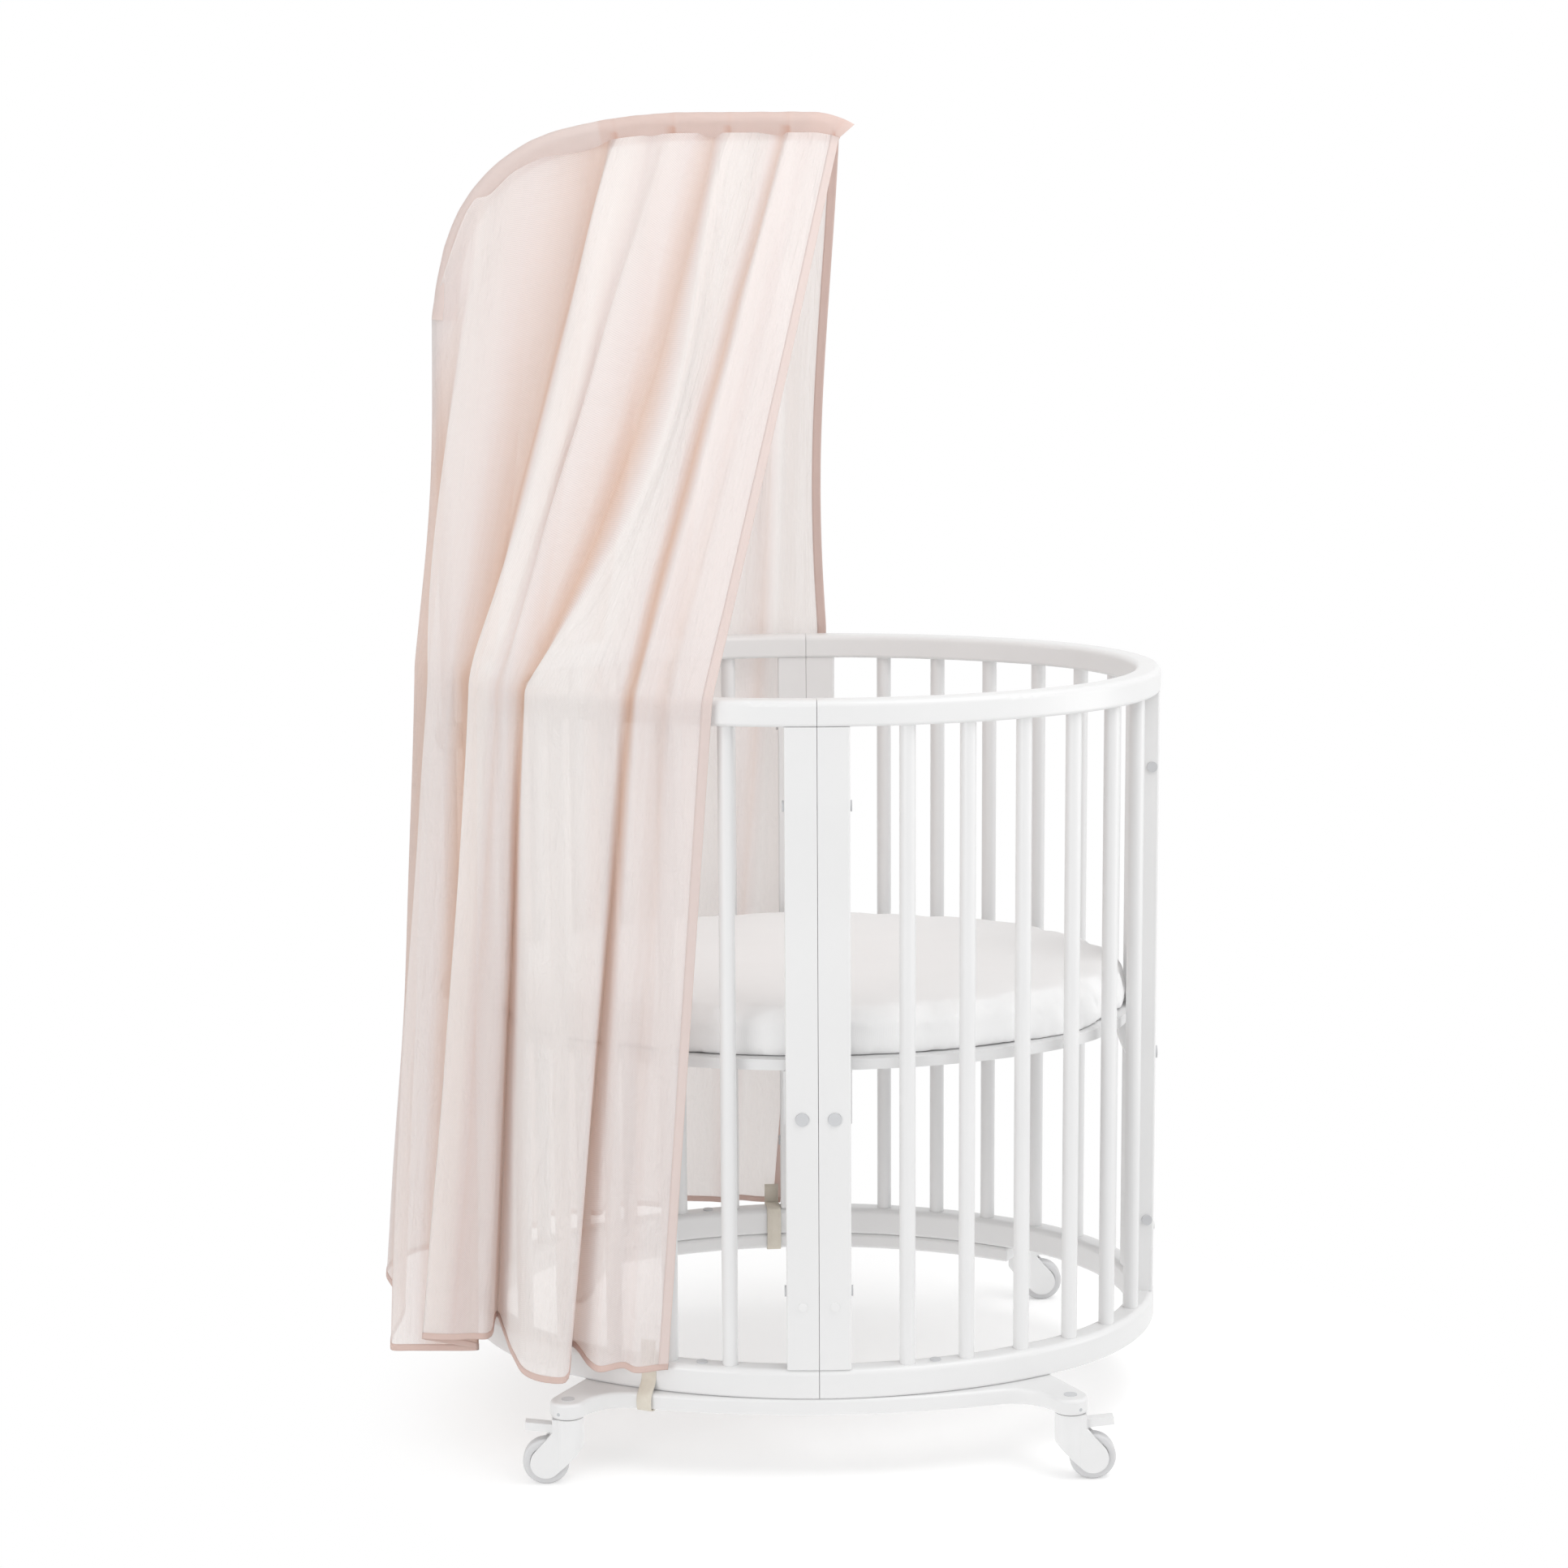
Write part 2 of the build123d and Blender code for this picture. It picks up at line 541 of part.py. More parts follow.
def base_brackets():
    """A bracket on the inner faces of the posts at each of the four seams."""
    half = BRACKET_WIDTH / 2
    side_back = sqrt((SIDE_RADIUS - POST_BACK) ** 2 - half**2) - SIDE_DROP - BRACKET_GAP
    end_back = END_CENTRE + sqrt((END_RADIUS - POST_BACK) ** 2 - half**2) - BRACKET_GAP
    side = bracket(side_back, SIDE_POST_WIDTH / 2)
    end = bracket(end_back, END_POST_WIDTH / 2)
    return solids_of([side, Rot(0, 0, 180) * side, Rot(0, 0, 90) * end, Rot(0, 0, -90) * end])


def mattress():
    """Oval mattress with rounded edges, sides drawn in at mid height and a crowned top."""
    inset = POST_BACK + BASE_CLEARANCE + MATTRESS_CLEARANCE
    bottom = BASE_TOP + MATTRESS_LIFT_GAP
    top = bottom + MATTRESS_THICKNESS
    sides = zip(MATTRESS_SIDE_SHARES, MATTRESS_SIDE_INSETS)
    crown = zip(MATTRESS_CROWN_SHARES, MATTRESS_CROWN_REACHES)
    room = END_RADIUS - inset
    wires = [oval_wire(inset + extra, bottom + share * MATTRESS_THICKNESS) for share, extra in sides]
    wires += [oval_wire(inset + reach * room, top + share * MATTRESS_CROWN) for share, reach in crown]
    return Solid.make_loft(wires, ruled=True)


# Foot bars

def circles_cross(first_centre, first_radius, second_centre, second_radius):
    """The crossing of two circles that lies to the left of the line from the first to the second."""
    gap = second_centre - first_centre
    span = gap.length
    step = (span**2 + first_radius**2 - second_radius**2) / (2 * span)
    rise = sqrt(first_radius**2 - step**2)
    line = gap.normalized()
    return first_centre + line * step + Vector(-line.Y, line.X) * rise


def tangent_point(start, centre, radius, side):
    """Where a line from start touches a circle; side is +1 or -1."""
    gap = start - centre
    turn = side * acos(radius / gap.length)
    angle = atan2(gap.Y, gap.X) + turn
    return centre + Vector(cos(angle), sin(angle)) * radius


def foot_outline():
    """Edges of the back foot bar: a shallow bow that necks in and ends in a round pad for each caster."""
    pad = Vector(CASTER_X, CASTER_Y)
    bow = Vector(0, HALF_WIDTH - FOOT_BOW_RADIUS)
    neck = circles_cross(bow, FOOT_BOW_RADIUS + FOOT_NECK_RADIUS, pad, FOOT_NECK_RADIUS + FOOT_PAD_RADIUS)
    bow_end = bow + (neck - bow).normalized() * FOOT_BOW_RADIUS
    pad_start = pad + (neck - pad).normalized() * FOOT_PAD_RADIUS
    neck_middle = neck + ((bow_end + pad_start) / 2 - neck).normalized() * FOOT_NECK_RADIUS
    inner_end = oval_point(FOOT_REACH, -RAIL_DEPTH)
    pad_end = tangent_point(inner_end, pad, FOOT_PAD_RADIUS, 1)
    outward = (pad - inner_end).normalized()
    half = [
        ThreePointArc(bow_end, neck_middle, pad_start),
        ThreePointArc(pad_start, pad + outward * FOOT_PAD_RADIUS, pad_end),
        Line(pad_end, inner_end),
    ]
    half += oval_edges(FOOT_REACH, 0, -RAIL_DEPTH)
    bow_arc = ThreePointArc(Vector(-bow_end.X, bow_end.Y), Vector(0, HALF_WIDTH), bow_end)
    return [bow_arc] + half + [edge.mirror(Plane.YZ) for edge in half]


def foot_bar():
    """Back foot bar with its caster sockets and bolt holes."""
    bar = Pos(0, 0, FOOT_BOTTOM) * extrude(make_face(foot_outline()), FOOT_THICKNESS)
    bar = fillet(bar.edges().group_by(Axis.Z)[-1] + bar.edges().group_by(Axis.Z)[0], FOOT_ROUND)
    plug_floor = FOOT_TOP - STEM_PLUG_DEPTH
    stem_hole = upright(STEM_DIAMETER + 2 * STEM_CLEARANCE, FOOT_BOTTOM, FOOT_TOP)
    plug_hole = upright(STEM_PLUG_DIAMETER, plug_floor, FOOT_TOP)
    bolt_hole = upright(FOOT_BOLT_DIAMETER + 2 * BOLT_CLEARANCE, FOOT_TOP - FOOT_BOLT_DEPTH, FOOT_TOP)
    bolt = foot_bolt_place()
    for sign in (-1, 1):
        bar -= Pos(sign * CASTER_X, CASTER_Y, 0) * (stem_hole + plug_hole)
        bar -= Pos(sign * bolt.X, bolt.Y, 0) * bolt_hole
        bar -= set_screw_at(sign)
    return bar


def set_screw_at(sign):
    """Grub screw in the side of a pad of the back foot bar; its tip keeps the grooved caster stem in."""
    screw = along_x(SET_SCREW_DIAMETER, STEM_GROOVE_DIAMETER / 2 + SET_SCREW_GAP, FOOT_PAD_RADIUS)
    bearing = SET_SCREW_BEARING if sign > 0 else 180 - SET_SCREW_BEARING
    return Pos(sign * CASTER_X, CASTER_Y, SET_SCREW_HEIGHT) * Rot(0, 0, bearing) * screw


def both_feet(shapes):
    """Shapes of the back foot bar and their mirror images on the front one."""
    return solids_of([copy for shape in shapes for copy in (shape, mirror(shape, about=Plane.XZ))])


def foot_bolts():
    top = BOTTOM_RAIL_TOP
    head = upright(FOOT_BOLT_HEAD_DIAMETER, top, top + FOOT_BOLT_HEAD_THICKNESS)
    bolt = head + upright(FOOT_BOLT_DIAMETER, FOOT_TOP - FOOT_BOLT_DEPTH, top)
    place = foot_bolt_place()
    return both_feet([Pos(sign * place.X, place.Y, 0) * bolt for sign in (-1, 1)])


def stem_plugs():
    """Grey covers over the caster stems."""
    plug = upright(STEM_PLUG_DIAMETER, FOOT_TOP - STEM_PLUG_DEPTH, FOOT_TOP + STEM_PLUG_PROUD)
    return both_feet([Pos(sign * CASTER_X, CASTER_Y, 0) * plug for sign in (-1, 1)])


# Casters, made with the stem on the Z axis and the wheel trailing towards +X

def wheel_axis(shape):
    """Move a shape made on the Y axis to the wheel's axle."""
    return Pos(WHEEL_TRAIL, 0, WHEEL_RADIUS) * shape


def lever_axis(shape):
    """Move a shape made on the Y axis to the brake lever's pivot."""
    return Pos(LEVER_PIVOT_X, 0, LEVER_PIVOT_HEIGHT) * shape


def centred_y(diameter, length):
    return along_y(diameter, -length / 2, length / 2)


def axle_length():
    return HOOD_SLOT + 2 * AXLE_IN_HOOD


def lever_pin_length():
    return LEVER_WIDTH + 2 * (LEVER_SIDE_ROOM + LEVER_PIN_IN_HOOD)


def hood_outline():
    """Side view of the housing: a barrel whose hood sweeps down to a disc over the wheel."""
    centre = Vector(WHEEL_TRAIL, WHEEL_RADIUS)
    corner = Vector(-HOUSING_RADIUS, HOOD_CORNER_HEIGHT)
    shoulder = Vector(HOUSING_RADIUS, HOOD_SHOULDER_HEIGHT)
    low_touch = tangent_point(corner, centre, HOOD_DISC_RADIUS, 1)
    high_touch = tangent_point(shoulder, centre, HOOD_DISC_RADIUS, -1)
    far_side = centre + Vector(cos(radians(-40)), sin(radians(-40))) * HOOD_DISC_RADIUS
    top_left = Vector(-HOUSING_RADIUS, HOUSING_TOP)
    top_right = Vector(HOUSING_RADIUS, HOUSING_TOP)
    return [
        Line(top_left, corner),
        Line(corner, low_touch),
        ThreePointArc(low_touch, far_side, high_touch),
        Line(high_touch, shoulder),
        Line(shoulder, top_right),
        Line(top_right, top_left),
    ]


def caster_housing():
    side = extrude(Plane.XZ * make_face(hood_outline()), HOUSING_RADIUS, both=True)
    reach = WHEEL_TRAIL + 2 * WHEEL_RADIUS
    plan = Circle(HOUSING_RADIUS) + Rectangle(reach, HOOD_WIDTH, align=(Align.MIN, Align.CENTER))
    housing = side & extrude(plan, HOUSING_TOP)
    housing -= wheel_axis(centred_y(2 * (WHEEL_RADIUS + WHEEL_ROOM), HOOD_SLOT))
    slot_width = LEVER_WIDTH + 2 * LEVER_SIDE_ROOM
    slot_back = LEVER_PIVOT_X - LEVER_BARREL_RADIUS - WHEEL_ROOM
    slot_top = LEVER_PIVOT_HEIGHT + LEVER_RISE + LEVER_THICKNESS / 2 + WHEEL_ROOM
    slot = Box(reach, slot_width, slot_top - WHEEL_RADIUS, align=(Align.MIN, Align.CENTER, Align.MIN))
    housing -= Pos(slot_back, 0, WHEEL_RADIUS) * slot
    housing -= wheel_axis(centred_y(AXLE_DIAMETER, axle_length()))
    housing -= lever_axis(centred_y(LEVER_PIN_DIAMETER, lever_pin_length()))
    housing -= upright(STEM_DIAMETER, HOUSING_TOP - STEM_IN_HOUSING, HOUSING_TOP)
    return housing


def caster_pins():
    """Stem, wheel axle and lever pin, all fixed in the housing."""
    stem = upright(STEM_DIAMETER, HOUSING_TOP - STEM_IN_HOUSING, FOOT_BOTTOM + STEM_IN_FOOT)
    groove_low = SET_SCREW_HEIGHT - STEM_GROOVE_WIDTH / 2
    groove_high = SET_SCREW_HEIGHT + STEM_GROOVE_WIDTH / 2
    groove = upright(2 * STEM_DIAMETER, groove_low, groove_high)
    stem -= groove - upright(STEM_GROOVE_DIAMETER, groove_low, groove_high)
    axle = wheel_axis(centred_y(AXLE_DIAMETER, axle_length()))
    pin = lever_axis(centred_y(LEVER_PIN_DIAMETER, lever_pin_length()))
    return solids_of([stem, axle, pin])


def caster_wheel():
    wheel = fillet(centred_y(2 * WHEEL_RADIUS, WHEEL_WIDTH).edges().filter_by(GeomType.CIRCLE), WHEEL_ROUND)
    recess_ring = centred_y(2 * WHEEL_RECESS_RADIUS, WHEEL_RECESS_DEPTH)
    recess_ring -= centred_y(2 * WHEEL_BOSS_RADIUS, WHEEL_RECESS_DEPTH)
    face = (WHEEL_WIDTH - WHEEL_RECESS_DEPTH) / 2
    wheel -= [Pos(0, sign * face, 0) * recess_ring for sign in (-1, 1)]
    wheel -= centred_y(AXLE_DIAMETER + 2 * AXLE_CLEARANCE, WHEEL_WIDTH)
    return wheel_axis(wheel)


def brake_lever():
    """Foot lever on a barrel with a nose that closes on the tyre."""
    tongue = Rectangle(LEVER_REACH, LEVER_THICKNESS, align=(Align.MIN, Align.CENTER))
    tongue = Pos(0, LEVER_RISE) * Rot(0, 0, LEVER_TILT) * tongue
    neck_height = LEVER_RISE + LEVER_THICKNESS / 2
    neck = Rectangle(LEVER_BARREL_RADIUS * 2, neck_height, align=(Align.CENTER, Align.MIN))
    nose = Rectangle(LEVER_NOSE_RADIUS, LEVER_NOSE_WIDTH, align=(Align.MIN, Align.CENTER))
    nose &= Circle(LEVER_NOSE_RADIUS)
    profile = Circle(LEVER_BARREL_RADIUS) + (neck & Circle(neck_height))
    profile += tongue
    profile += Rot(0, 0, LEVER_NOSE_ANGLE) * nose
    lever = extrude(Plane.XZ * profile, LEVER_WIDTH / 2, both=True)
    lever -= centred_y(LEVER_PIN_DIAMETER + 2 * AXLE_CLEARANCE, LEVER_WIDTH)
    return lever_axis(lever)


def place_caster(shape, name):
    """Stand a caster part under its pad, trailing away from the middle of the crib."""
    x_sign, y_sign = QUARTERS[name]
    turn = 0 if x_sign > 0 else 180
    return Pos(x_sign * CASTER_X, y_sign * CASTER_Y, 0) * Rot(0, 0, turn) * shape


# Canopy rod

def rod_bends():
    """Radius and angle of each bend of the rod, from the joint up."""
    return zip(ROD_BEND_RADII, ROD_BEND_ANGLES)


def rod_path():
    """Start, centre and turn of each stretch of the rod's centre line in the XZ plane, from the joint up."""
    place = Vector(ROD_X, ROD_BEND_START)
    heading = pi / 2
    arcs = []
    for radius, turn in rod_bends():
        arcs.append((place, heading, radius, radians(turn)))
        after = heading - radians(turn)
        step = Vector(sin(heading) - sin(after), cos(after) - cos(heading))
        place = place + step * radius
        heading = after
    return arcs, place


def rod_point(length):
    """Point of the rod's centre line at a length along it past the start of the bends."""
    arcs, end = rod_path()
    for place, heading, radius, turn in arcs:
        if length <= radius * turn:
            after = heading - length / radius
            return place + Vector(sin(heading) - sin(after), cos(after) - cos(heading)) * radius
        length -= radius * turn
    return end + Vector(length, 0)


def rod_length():
    return sum(radius * radians(turn) for radius, turn in rod_bends()) + ROD_STRAIGHT


def rod_wire(start, stop):
    """Centre line of the bent rod between two lengths past the start of the bends."""
    stops = [0.0]
    for radius, turn in rod_bends():
        stops.append(stops[-1] + radius * radians(turn))
    edges = []
    for first, last in zip(stops, stops[1:]):
        low = max(first, start)
        high = min(last, stop)
        if low < high:
            edges.append(ThreePointArc(rod_point(low), rod_point((low + high) / 2), rod_point(high)))
    if start < 0:
        edges.insert(0, Line(Vector(ROD_X, ROD_BEND_START + start), rod_point(0)))
    if stop > stops[-1]:
        edges.append(Line(rod_point(stops[-1]), rod_point(stop)))
    return Plane.XZ * Wire(edges)


def bent_tube(start, stop, outer_radius, inner_radius):
    path = rod_wire(start, stop)
    section = Plane(path @ 0, z_dir=path % 0) * (Circle(outer_radius) - Circle(inner_radius))
    return sweep(section, path)


def rod_lower():
    """Straight lower tube, held in the two clamps."""
    outer = upright(ROD_DIAMETER, ROD_FOOT_HEIGHT, ROD_JOINT_HEIGHT)
    inner = upright(ROD_DIAMETER - 2 * ROD_WALL, ROD_FOOT_HEIGHT, ROD_JOINT_HEIGHT)
    return Pos(ROD_X, 0, 0) * (outer - inner)


def rod_upper():
    """Bent upper tube with the spigot that plugs into the lower one."""
    tube = bent_tube(ROD_JOINT_HEIGHT - ROD_BEND_START, rod_length(), ROD_RADIUS, ROD_RADIUS - ROD_WALL)
    bore = ROD_DIAMETER - 2 * ROD_WALL
    spigot = upright(bore - 2 * ROD_SPIGOT_CLEARANCE, ROD_JOINT_HEIGHT - ROD_SPIGOT_LENGTH, ROD_JOINT_HEIGHT)
    collar = upright(bore, ROD_JOINT_HEIGHT, ROD_JOINT_HEIGHT + ROD_DIAMETER)
    tip = rod_point(rod_length() - ROD_DIAMETER)
    cap = Pos(tip.X, 0, tip.Y) * along_x(bore, 0, ROD_DIAMETER)
    return tube + Pos(ROD_X, 0, 0) * (spigot + collar) + cap


def clamp_back():
    """Where the clamps meet the outer face of the head end posts."""
    return -(HALF_LENGTH - POST_INSET)


def clamp_front():
    return ROD_X - ROD_RADIUS - CLAMP_WALL


def rod_clamps():
    depth = clamp_back() - clamp_front()
    block = Box(depth, CLAMP_WIDTH, CLAMP_HEIGHT, align=(Align.MIN, Align.CENTER, Align.CENTER))
    block = Pos(clamp_front(), 0, 0) * block
    block = fillet(block.edges().filter_by(Axis.Z).group_by(Axis.X)[0], CLAMP_WALL)
    block -= Pos(ROD_X, 0, 0) * upright(ROD_DIAMETER + 2 * CLAMP_CLEARANCE, -CLAMP_HEIGHT, CLAMP_HEIGHT)
    hole = along_x(CLAMP_SCREW_DIAMETER, clamp_front(), clamp_back())
    block -= [Pos(0, sign * CLAMP_SCREW_SPACING / 2, 0) * hole for sign in (-1, 1)]
    return solids_of([Pos(0, 0, height) * block for height in CLAMP_HEIGHTS])


def clamp_screw_places():
    return [(sign * CLAMP_SCREW_SPACING / 2, height) for height in CLAMP_HEIGHTS for sign in (-1, 1)]


def clamp_screws():
    front = clamp_front()
    head = along_x(CLAMP_SCREW_HEAD_DIAMETER, front - CLAMP_SCREW_HEAD, front)
    screw = head + along_x(CLAMP_SCREW_DIAMETER, front, clamp_back() + CLAMP_SCREW_IN_POST)
    return solids_of([Pos(0, y, height) * screw for y, height in clamp_screw_places()])


def clamp_screw_holes():
    hole = along_x(CLAMP_SCREW_DIAMETER, clamp_back() - CLAMP_WALL, clamp_back() + CLAMP_SCREW_IN_POST)
    return [Pos(0, y, height) * hole for y, height in clamp_screw_places()]


# Canopy cloth

def canopy_sleeve():
    """Sewn channel that the rod runs through; it goes on a little past the rod's tip."""
    stop = rod_length() + SLEEVE_OVERHANG
    return bent_tube(SLEEVE_START, stop, SLEEVE_RADIUS, ROD_RADIUS + SLEEVE_CLEARANCE)


def fold_line(fold, count):
    """Inner points of one fold line at the rod, rail and hem, and the way its thickness goes."""
    along_rod, rail_along, rail_out, hem_along, hem_out = fold
    rod = rod_point(along_rod)
    wrap = radians(min(count * WRAP_STEP, 90.0))
    reach = SLEEVE_RADIUS + SLEEVE_CLEARANCE
    if count * WRAP_STEP <= 90.0:
        reach /= cos(radians(WRAP_STEP / 2))
    top = Vector(rod.X - reach * cos(wrap), reach * sin(wrap), rod.Y)
    rail = oval_point(QUARTER - rail_along, rail_out)
    hem = oval_point(QUARTER - hem_along, hem_out)
    angle = oval_angle(QUARTER - rail_along)
    out = Vector(-sin(angle), cos(angle), 0)
    return top, Vector(-rail.X, rail.Y, RAIL_TOP + CLOTH_OVER_RAIL), Vector(-hem.X, hem.Y, HEM_HEIGHT), out


def fold_wire(fold, count, is_edge):
    """Closed outline of the cloth along one fold line; the free edge's outline is made flat."""
    top, rail, hem, out = fold_line(fold, count)
    if is_edge:
        normal = (top - rail).cross(hem - rail).normalized()
        out = (out - normal * out.dot(normal)).normalized()
    thick = out * CLOTH_THICKNESS
    return Wire.make_polygon([top, rail, hem, hem + thick, rail + thick, top + thick], close=True)


def canopy_panel(folds):
    """Cloth from the rod over the top rail to the hem, on the back side of the crib."""
    last = len(folds) - 1
    wires = [fold_wire(fold, count, count == last) for count, fold in enumerate(folds)]
    return Solid.make_loft(wires, ruled=True)


def strap_frame(place):
    """Where a strap's loop stands: on the rail's outer face, with Y outwards."""
    centre = oval_point(place, 0)
    return Pos(centre.X, centre.Y, 0) * Rot(0, 0, -degrees(oval_angle(place)))


def strap_span(place, outline):
    """How far a flat outline reaches inside and outside the rail's outer face, within a strap's width."""
    window = strap_frame(place) * Rectangle(STRAP_WIDTH, 4 * RAIL_DEPTH)
    box = (strap_frame(place).inverse() * (window & outline)).bounding_box()
    return box.min.Y, box.max.Y


def tie_strap(place):
    """Strap looped round the back bottom rail and foot bar, with a tail up to the hem."""
    rail_inside, rail_outside = strap_span(place, quarter_band(0, RAIL_DEPTH))
    foot_inside, foot_outside = strap_span(place, make_face(foot_outline()))
    inside = min(rail_inside, foot_inside) - STRAP_CLEARANCE
    outside = rail_outside + STRAP_CLEARANCE
    foot_out = max(rail_outside, foot_outside) + STRAP_CLEARANCE
    top = BOTTOM_RAIL_TOP + STRAP_CLEARANCE
    bottom = FOOT_BOTTOM - STRAP_CLEARANCE
    loop = [(inside, bottom), (foot_out, bottom), (foot_out, FOOT_TOP), (outside, top), (inside, top)]
    hole = make_face(Polyline(*loop, close=True))
    ring = offset(hole, STRAP_THICKNESS) - hole
    tail = Pos(outside, top) * Rectangle(STRAP_THICKNESS, STRAP_TAIL, align=(Align.MIN, Align.MIN))
    return strap_frame(place) * extrude(Plane.YZ * (ring + tail), STRAP_WIDTH / 2, both=True)


def make_parts():
    """Every node of the crib by name."""
    parts = {}
    for name in QUARTERS:
        parts["top_rail_" + name] = to_quarter(top_rail(), name)
        parts["bottom_rail_" + name] = to_quarter(bottom_rail(), name)
        parts["side_post_" + name] = to_quarter(side_post(), name)
        parts["end_post_" + name] = to_quarter(end_post(), name)
        parts["bars_" + name] = to_quarter(bars(), name)
    for name in ("front_left", "back_left"):
        parts["end_post_" + name] -= clamp_screw_holes()
    parts["post_dowels"] = post_dowels()
    parts["seam_sleeves"] = at_seams(seam_sleeve)
    parts["seam_screws"] = at_seams(seam_screw)
    parts["mattress_base"] = mattress_base()
    parts["base_brackets"] = base_brackets()
    parts["support_bolts"] = at_posts(support_bolt_pair)
    parts["hole_plugs"] = at_posts(plug_pair)
    parts["mattress"] = mattress()
    parts["foot_bar_back"] = foot_bar()
    parts["foot_bar_front"] = mirror(foot_bar(), about=Plane.XZ)
    parts["foot_bolts"] = foot_bolts()
    parts["stem_plugs"] = stem_plugs()
    parts["set_screws"] = both_feet([set_screw_at(-1), set_screw_at(1)])
    for name in QUARTERS:
        parts["caster_housing_" + name] = place_caster(caster_housing(), name)
        parts["caster_pins_" + name] = place_caster(caster_pins(), name)
        parts["caster_wheel_" + name] = place_caster(caster_wheel(), name)
        parts["brake_lever_" + name] = place_caster(brake_lever(), name)
    parts["canopy_rod_lower"] = rod_lower()
    parts["canopy_rod_upper"] = rod_upper()
    parts["rod_clamps"] = rod_clamps()
    parts["clamp_screws"] = clamp_screws()
    parts["canopy_sleeve"] = canopy_sleeve()
    parts["canopy_back_panel"] = canopy_panel(BACK_FOLDS)
    parts["canopy_front_panel"] = mirror(canopy_panel(FRONT_FOLDS), about=Plane.XZ)
    parts["tie_strap_back"] = to_quarter(tie_strap(BACK_STRAP_PLACE), "back_left")
    parts["tie_strap_front"] = to_quarter(tie_strap(FRONT_STRAP_PLACE), "front_left")
    return parts


os.makedirs("parts", exist_ok=True)
for node, shape in make_parts().items():
    export_step(shape, "parts/" + node + ".step")
    print(node, len(shape.solids()), round(shape.volume))
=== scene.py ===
import json
import math

import bmesh
import bpy
from mathutils import Matrix, Vector, noise


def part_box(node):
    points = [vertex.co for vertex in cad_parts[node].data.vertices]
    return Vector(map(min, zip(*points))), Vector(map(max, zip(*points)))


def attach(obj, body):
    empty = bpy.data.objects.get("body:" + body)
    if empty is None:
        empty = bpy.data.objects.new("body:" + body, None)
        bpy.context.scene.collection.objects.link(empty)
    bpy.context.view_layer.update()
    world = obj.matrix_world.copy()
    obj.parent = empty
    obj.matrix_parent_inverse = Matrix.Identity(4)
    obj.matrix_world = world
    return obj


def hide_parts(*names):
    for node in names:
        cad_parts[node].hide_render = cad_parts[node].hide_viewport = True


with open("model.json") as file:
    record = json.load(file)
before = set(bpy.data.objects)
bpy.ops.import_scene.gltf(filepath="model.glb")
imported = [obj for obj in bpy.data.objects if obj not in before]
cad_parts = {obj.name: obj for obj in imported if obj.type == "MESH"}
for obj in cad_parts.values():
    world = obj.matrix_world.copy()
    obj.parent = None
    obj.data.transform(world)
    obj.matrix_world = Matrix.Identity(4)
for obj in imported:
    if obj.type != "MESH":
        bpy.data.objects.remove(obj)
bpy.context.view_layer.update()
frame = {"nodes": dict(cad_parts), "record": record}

bl_info = {
    "name": "Oval baby crib with canopy",
    "version": (1, 0, 0),
    "blender": (4, 5, 0),
    "location": "View3D > Sidebar > Crib",
    "description": "Finishes, mattress, canopy and tie straps of an oval baby crib on casters",
    "category": "Add Mesh",
}

MM = 0.001
UP = Vector((0, 0, 1))
CRIB = "crib"

# Oval of the rails' outer face, in millimetres, and the heights that the cloth and straps meet
HALF_LENGTH = 411.5
HALF_WIDTH = 335.0
SIDE_RADIUS = 500.0
SIDE_DROP = SIDE_RADIUS - HALF_WIDTH
END_RADIUS = (SIDE_RADIUS**2 - HALF_LENGTH**2 - SIDE_DROP**2) / (2 * (SIDE_RADIUS - HALF_LENGTH))
END_CENTRE = HALF_LENGTH - END_RADIUS
SIDE_ANGLE = math.asin(END_CENTRE / (SIDE_RADIUS - END_RADIUS))
SIDE_LENGTH = SIDE_RADIUS * SIDE_ANGLE
QUARTER = SIDE_LENGTH + END_RADIUS * (math.pi / 2 - SIDE_ANGLE)
RAIL_DEPTH = 30.0
BOTTOM_RAIL_TOP = 130.0
BOTTOM_RAIL_BOTTOM = 96.0
FOOT_BOTTOM = 77.0

# Canopy rod's centre line: where its bends start, then each bend's radius and angle
ROD_X = -427.5
ROD_BEND_START = 1229.5
ROD_BENDS = ((600.0, 12.0), (182.0, 64.0), (600.0, 14.0))
ROD_STRAIGHT = 137.0
ROD_TIP = sum(radius * math.radians(turn) for radius, turn in ROD_BENDS) + ROD_STRAIGHT

# Canopy cloth in millimetres: its heights over the rail and at the hem, its gap from the rails below that,
# and how far it sags between rod and rail
CLOTH_OVER_RAIL = 885.0
HEM_HEIGHT = 126.0
CLOTH_CLEARANCE = 1.8
SAG = 7.0

# Grid of the cloth: rows from rod to rail, steps from one fold line to the next, rows of the bottom hem, and
# the greatest value of density with painted shade that its colours allow for
TENT_ROWS = 44
FOLD_STEPS = 6
HEM_ROWS = 5
MOST_DENSITY_AND_SHADE = 1.5

# Sewn channel: where it starts along the rod in millimetres, the spacing and number of its rings, the points
# round each, its radius and half its width at the seam, its tucks, and the slanted tip past the rod
CHANNEL_START = 56
CHANNEL_SPACING = 4
CHANNEL_RINGS = 153
CHANNEL_POINTS = 30
CHANNEL_RADIUS = 9.4
HALF_SEAM = 12.5
FIRST_TUCK = 391
TUCK_SPACING = 66
TUCK_STEP = 1.4
TIP_START = 634
TIP_LENGTH = 30
TIP_SLANT = 22

# Mattress in millimetres: height of its side, how far the side stands in at shares of that height, and the
# rise and inset of each ring of its crown
MATTRESS_SIDE = 46
MATTRESS_POINTS = 120
SIDE_INSETS = ((0.0, 3), (0.08, 1), (0.2, 0), (0.5, 3), (0.78, 1), (0.93, 8), (1.0, 30))
CROWN_RINGS = ((2.6, 70), (5.0, 130), (6.6, 200))

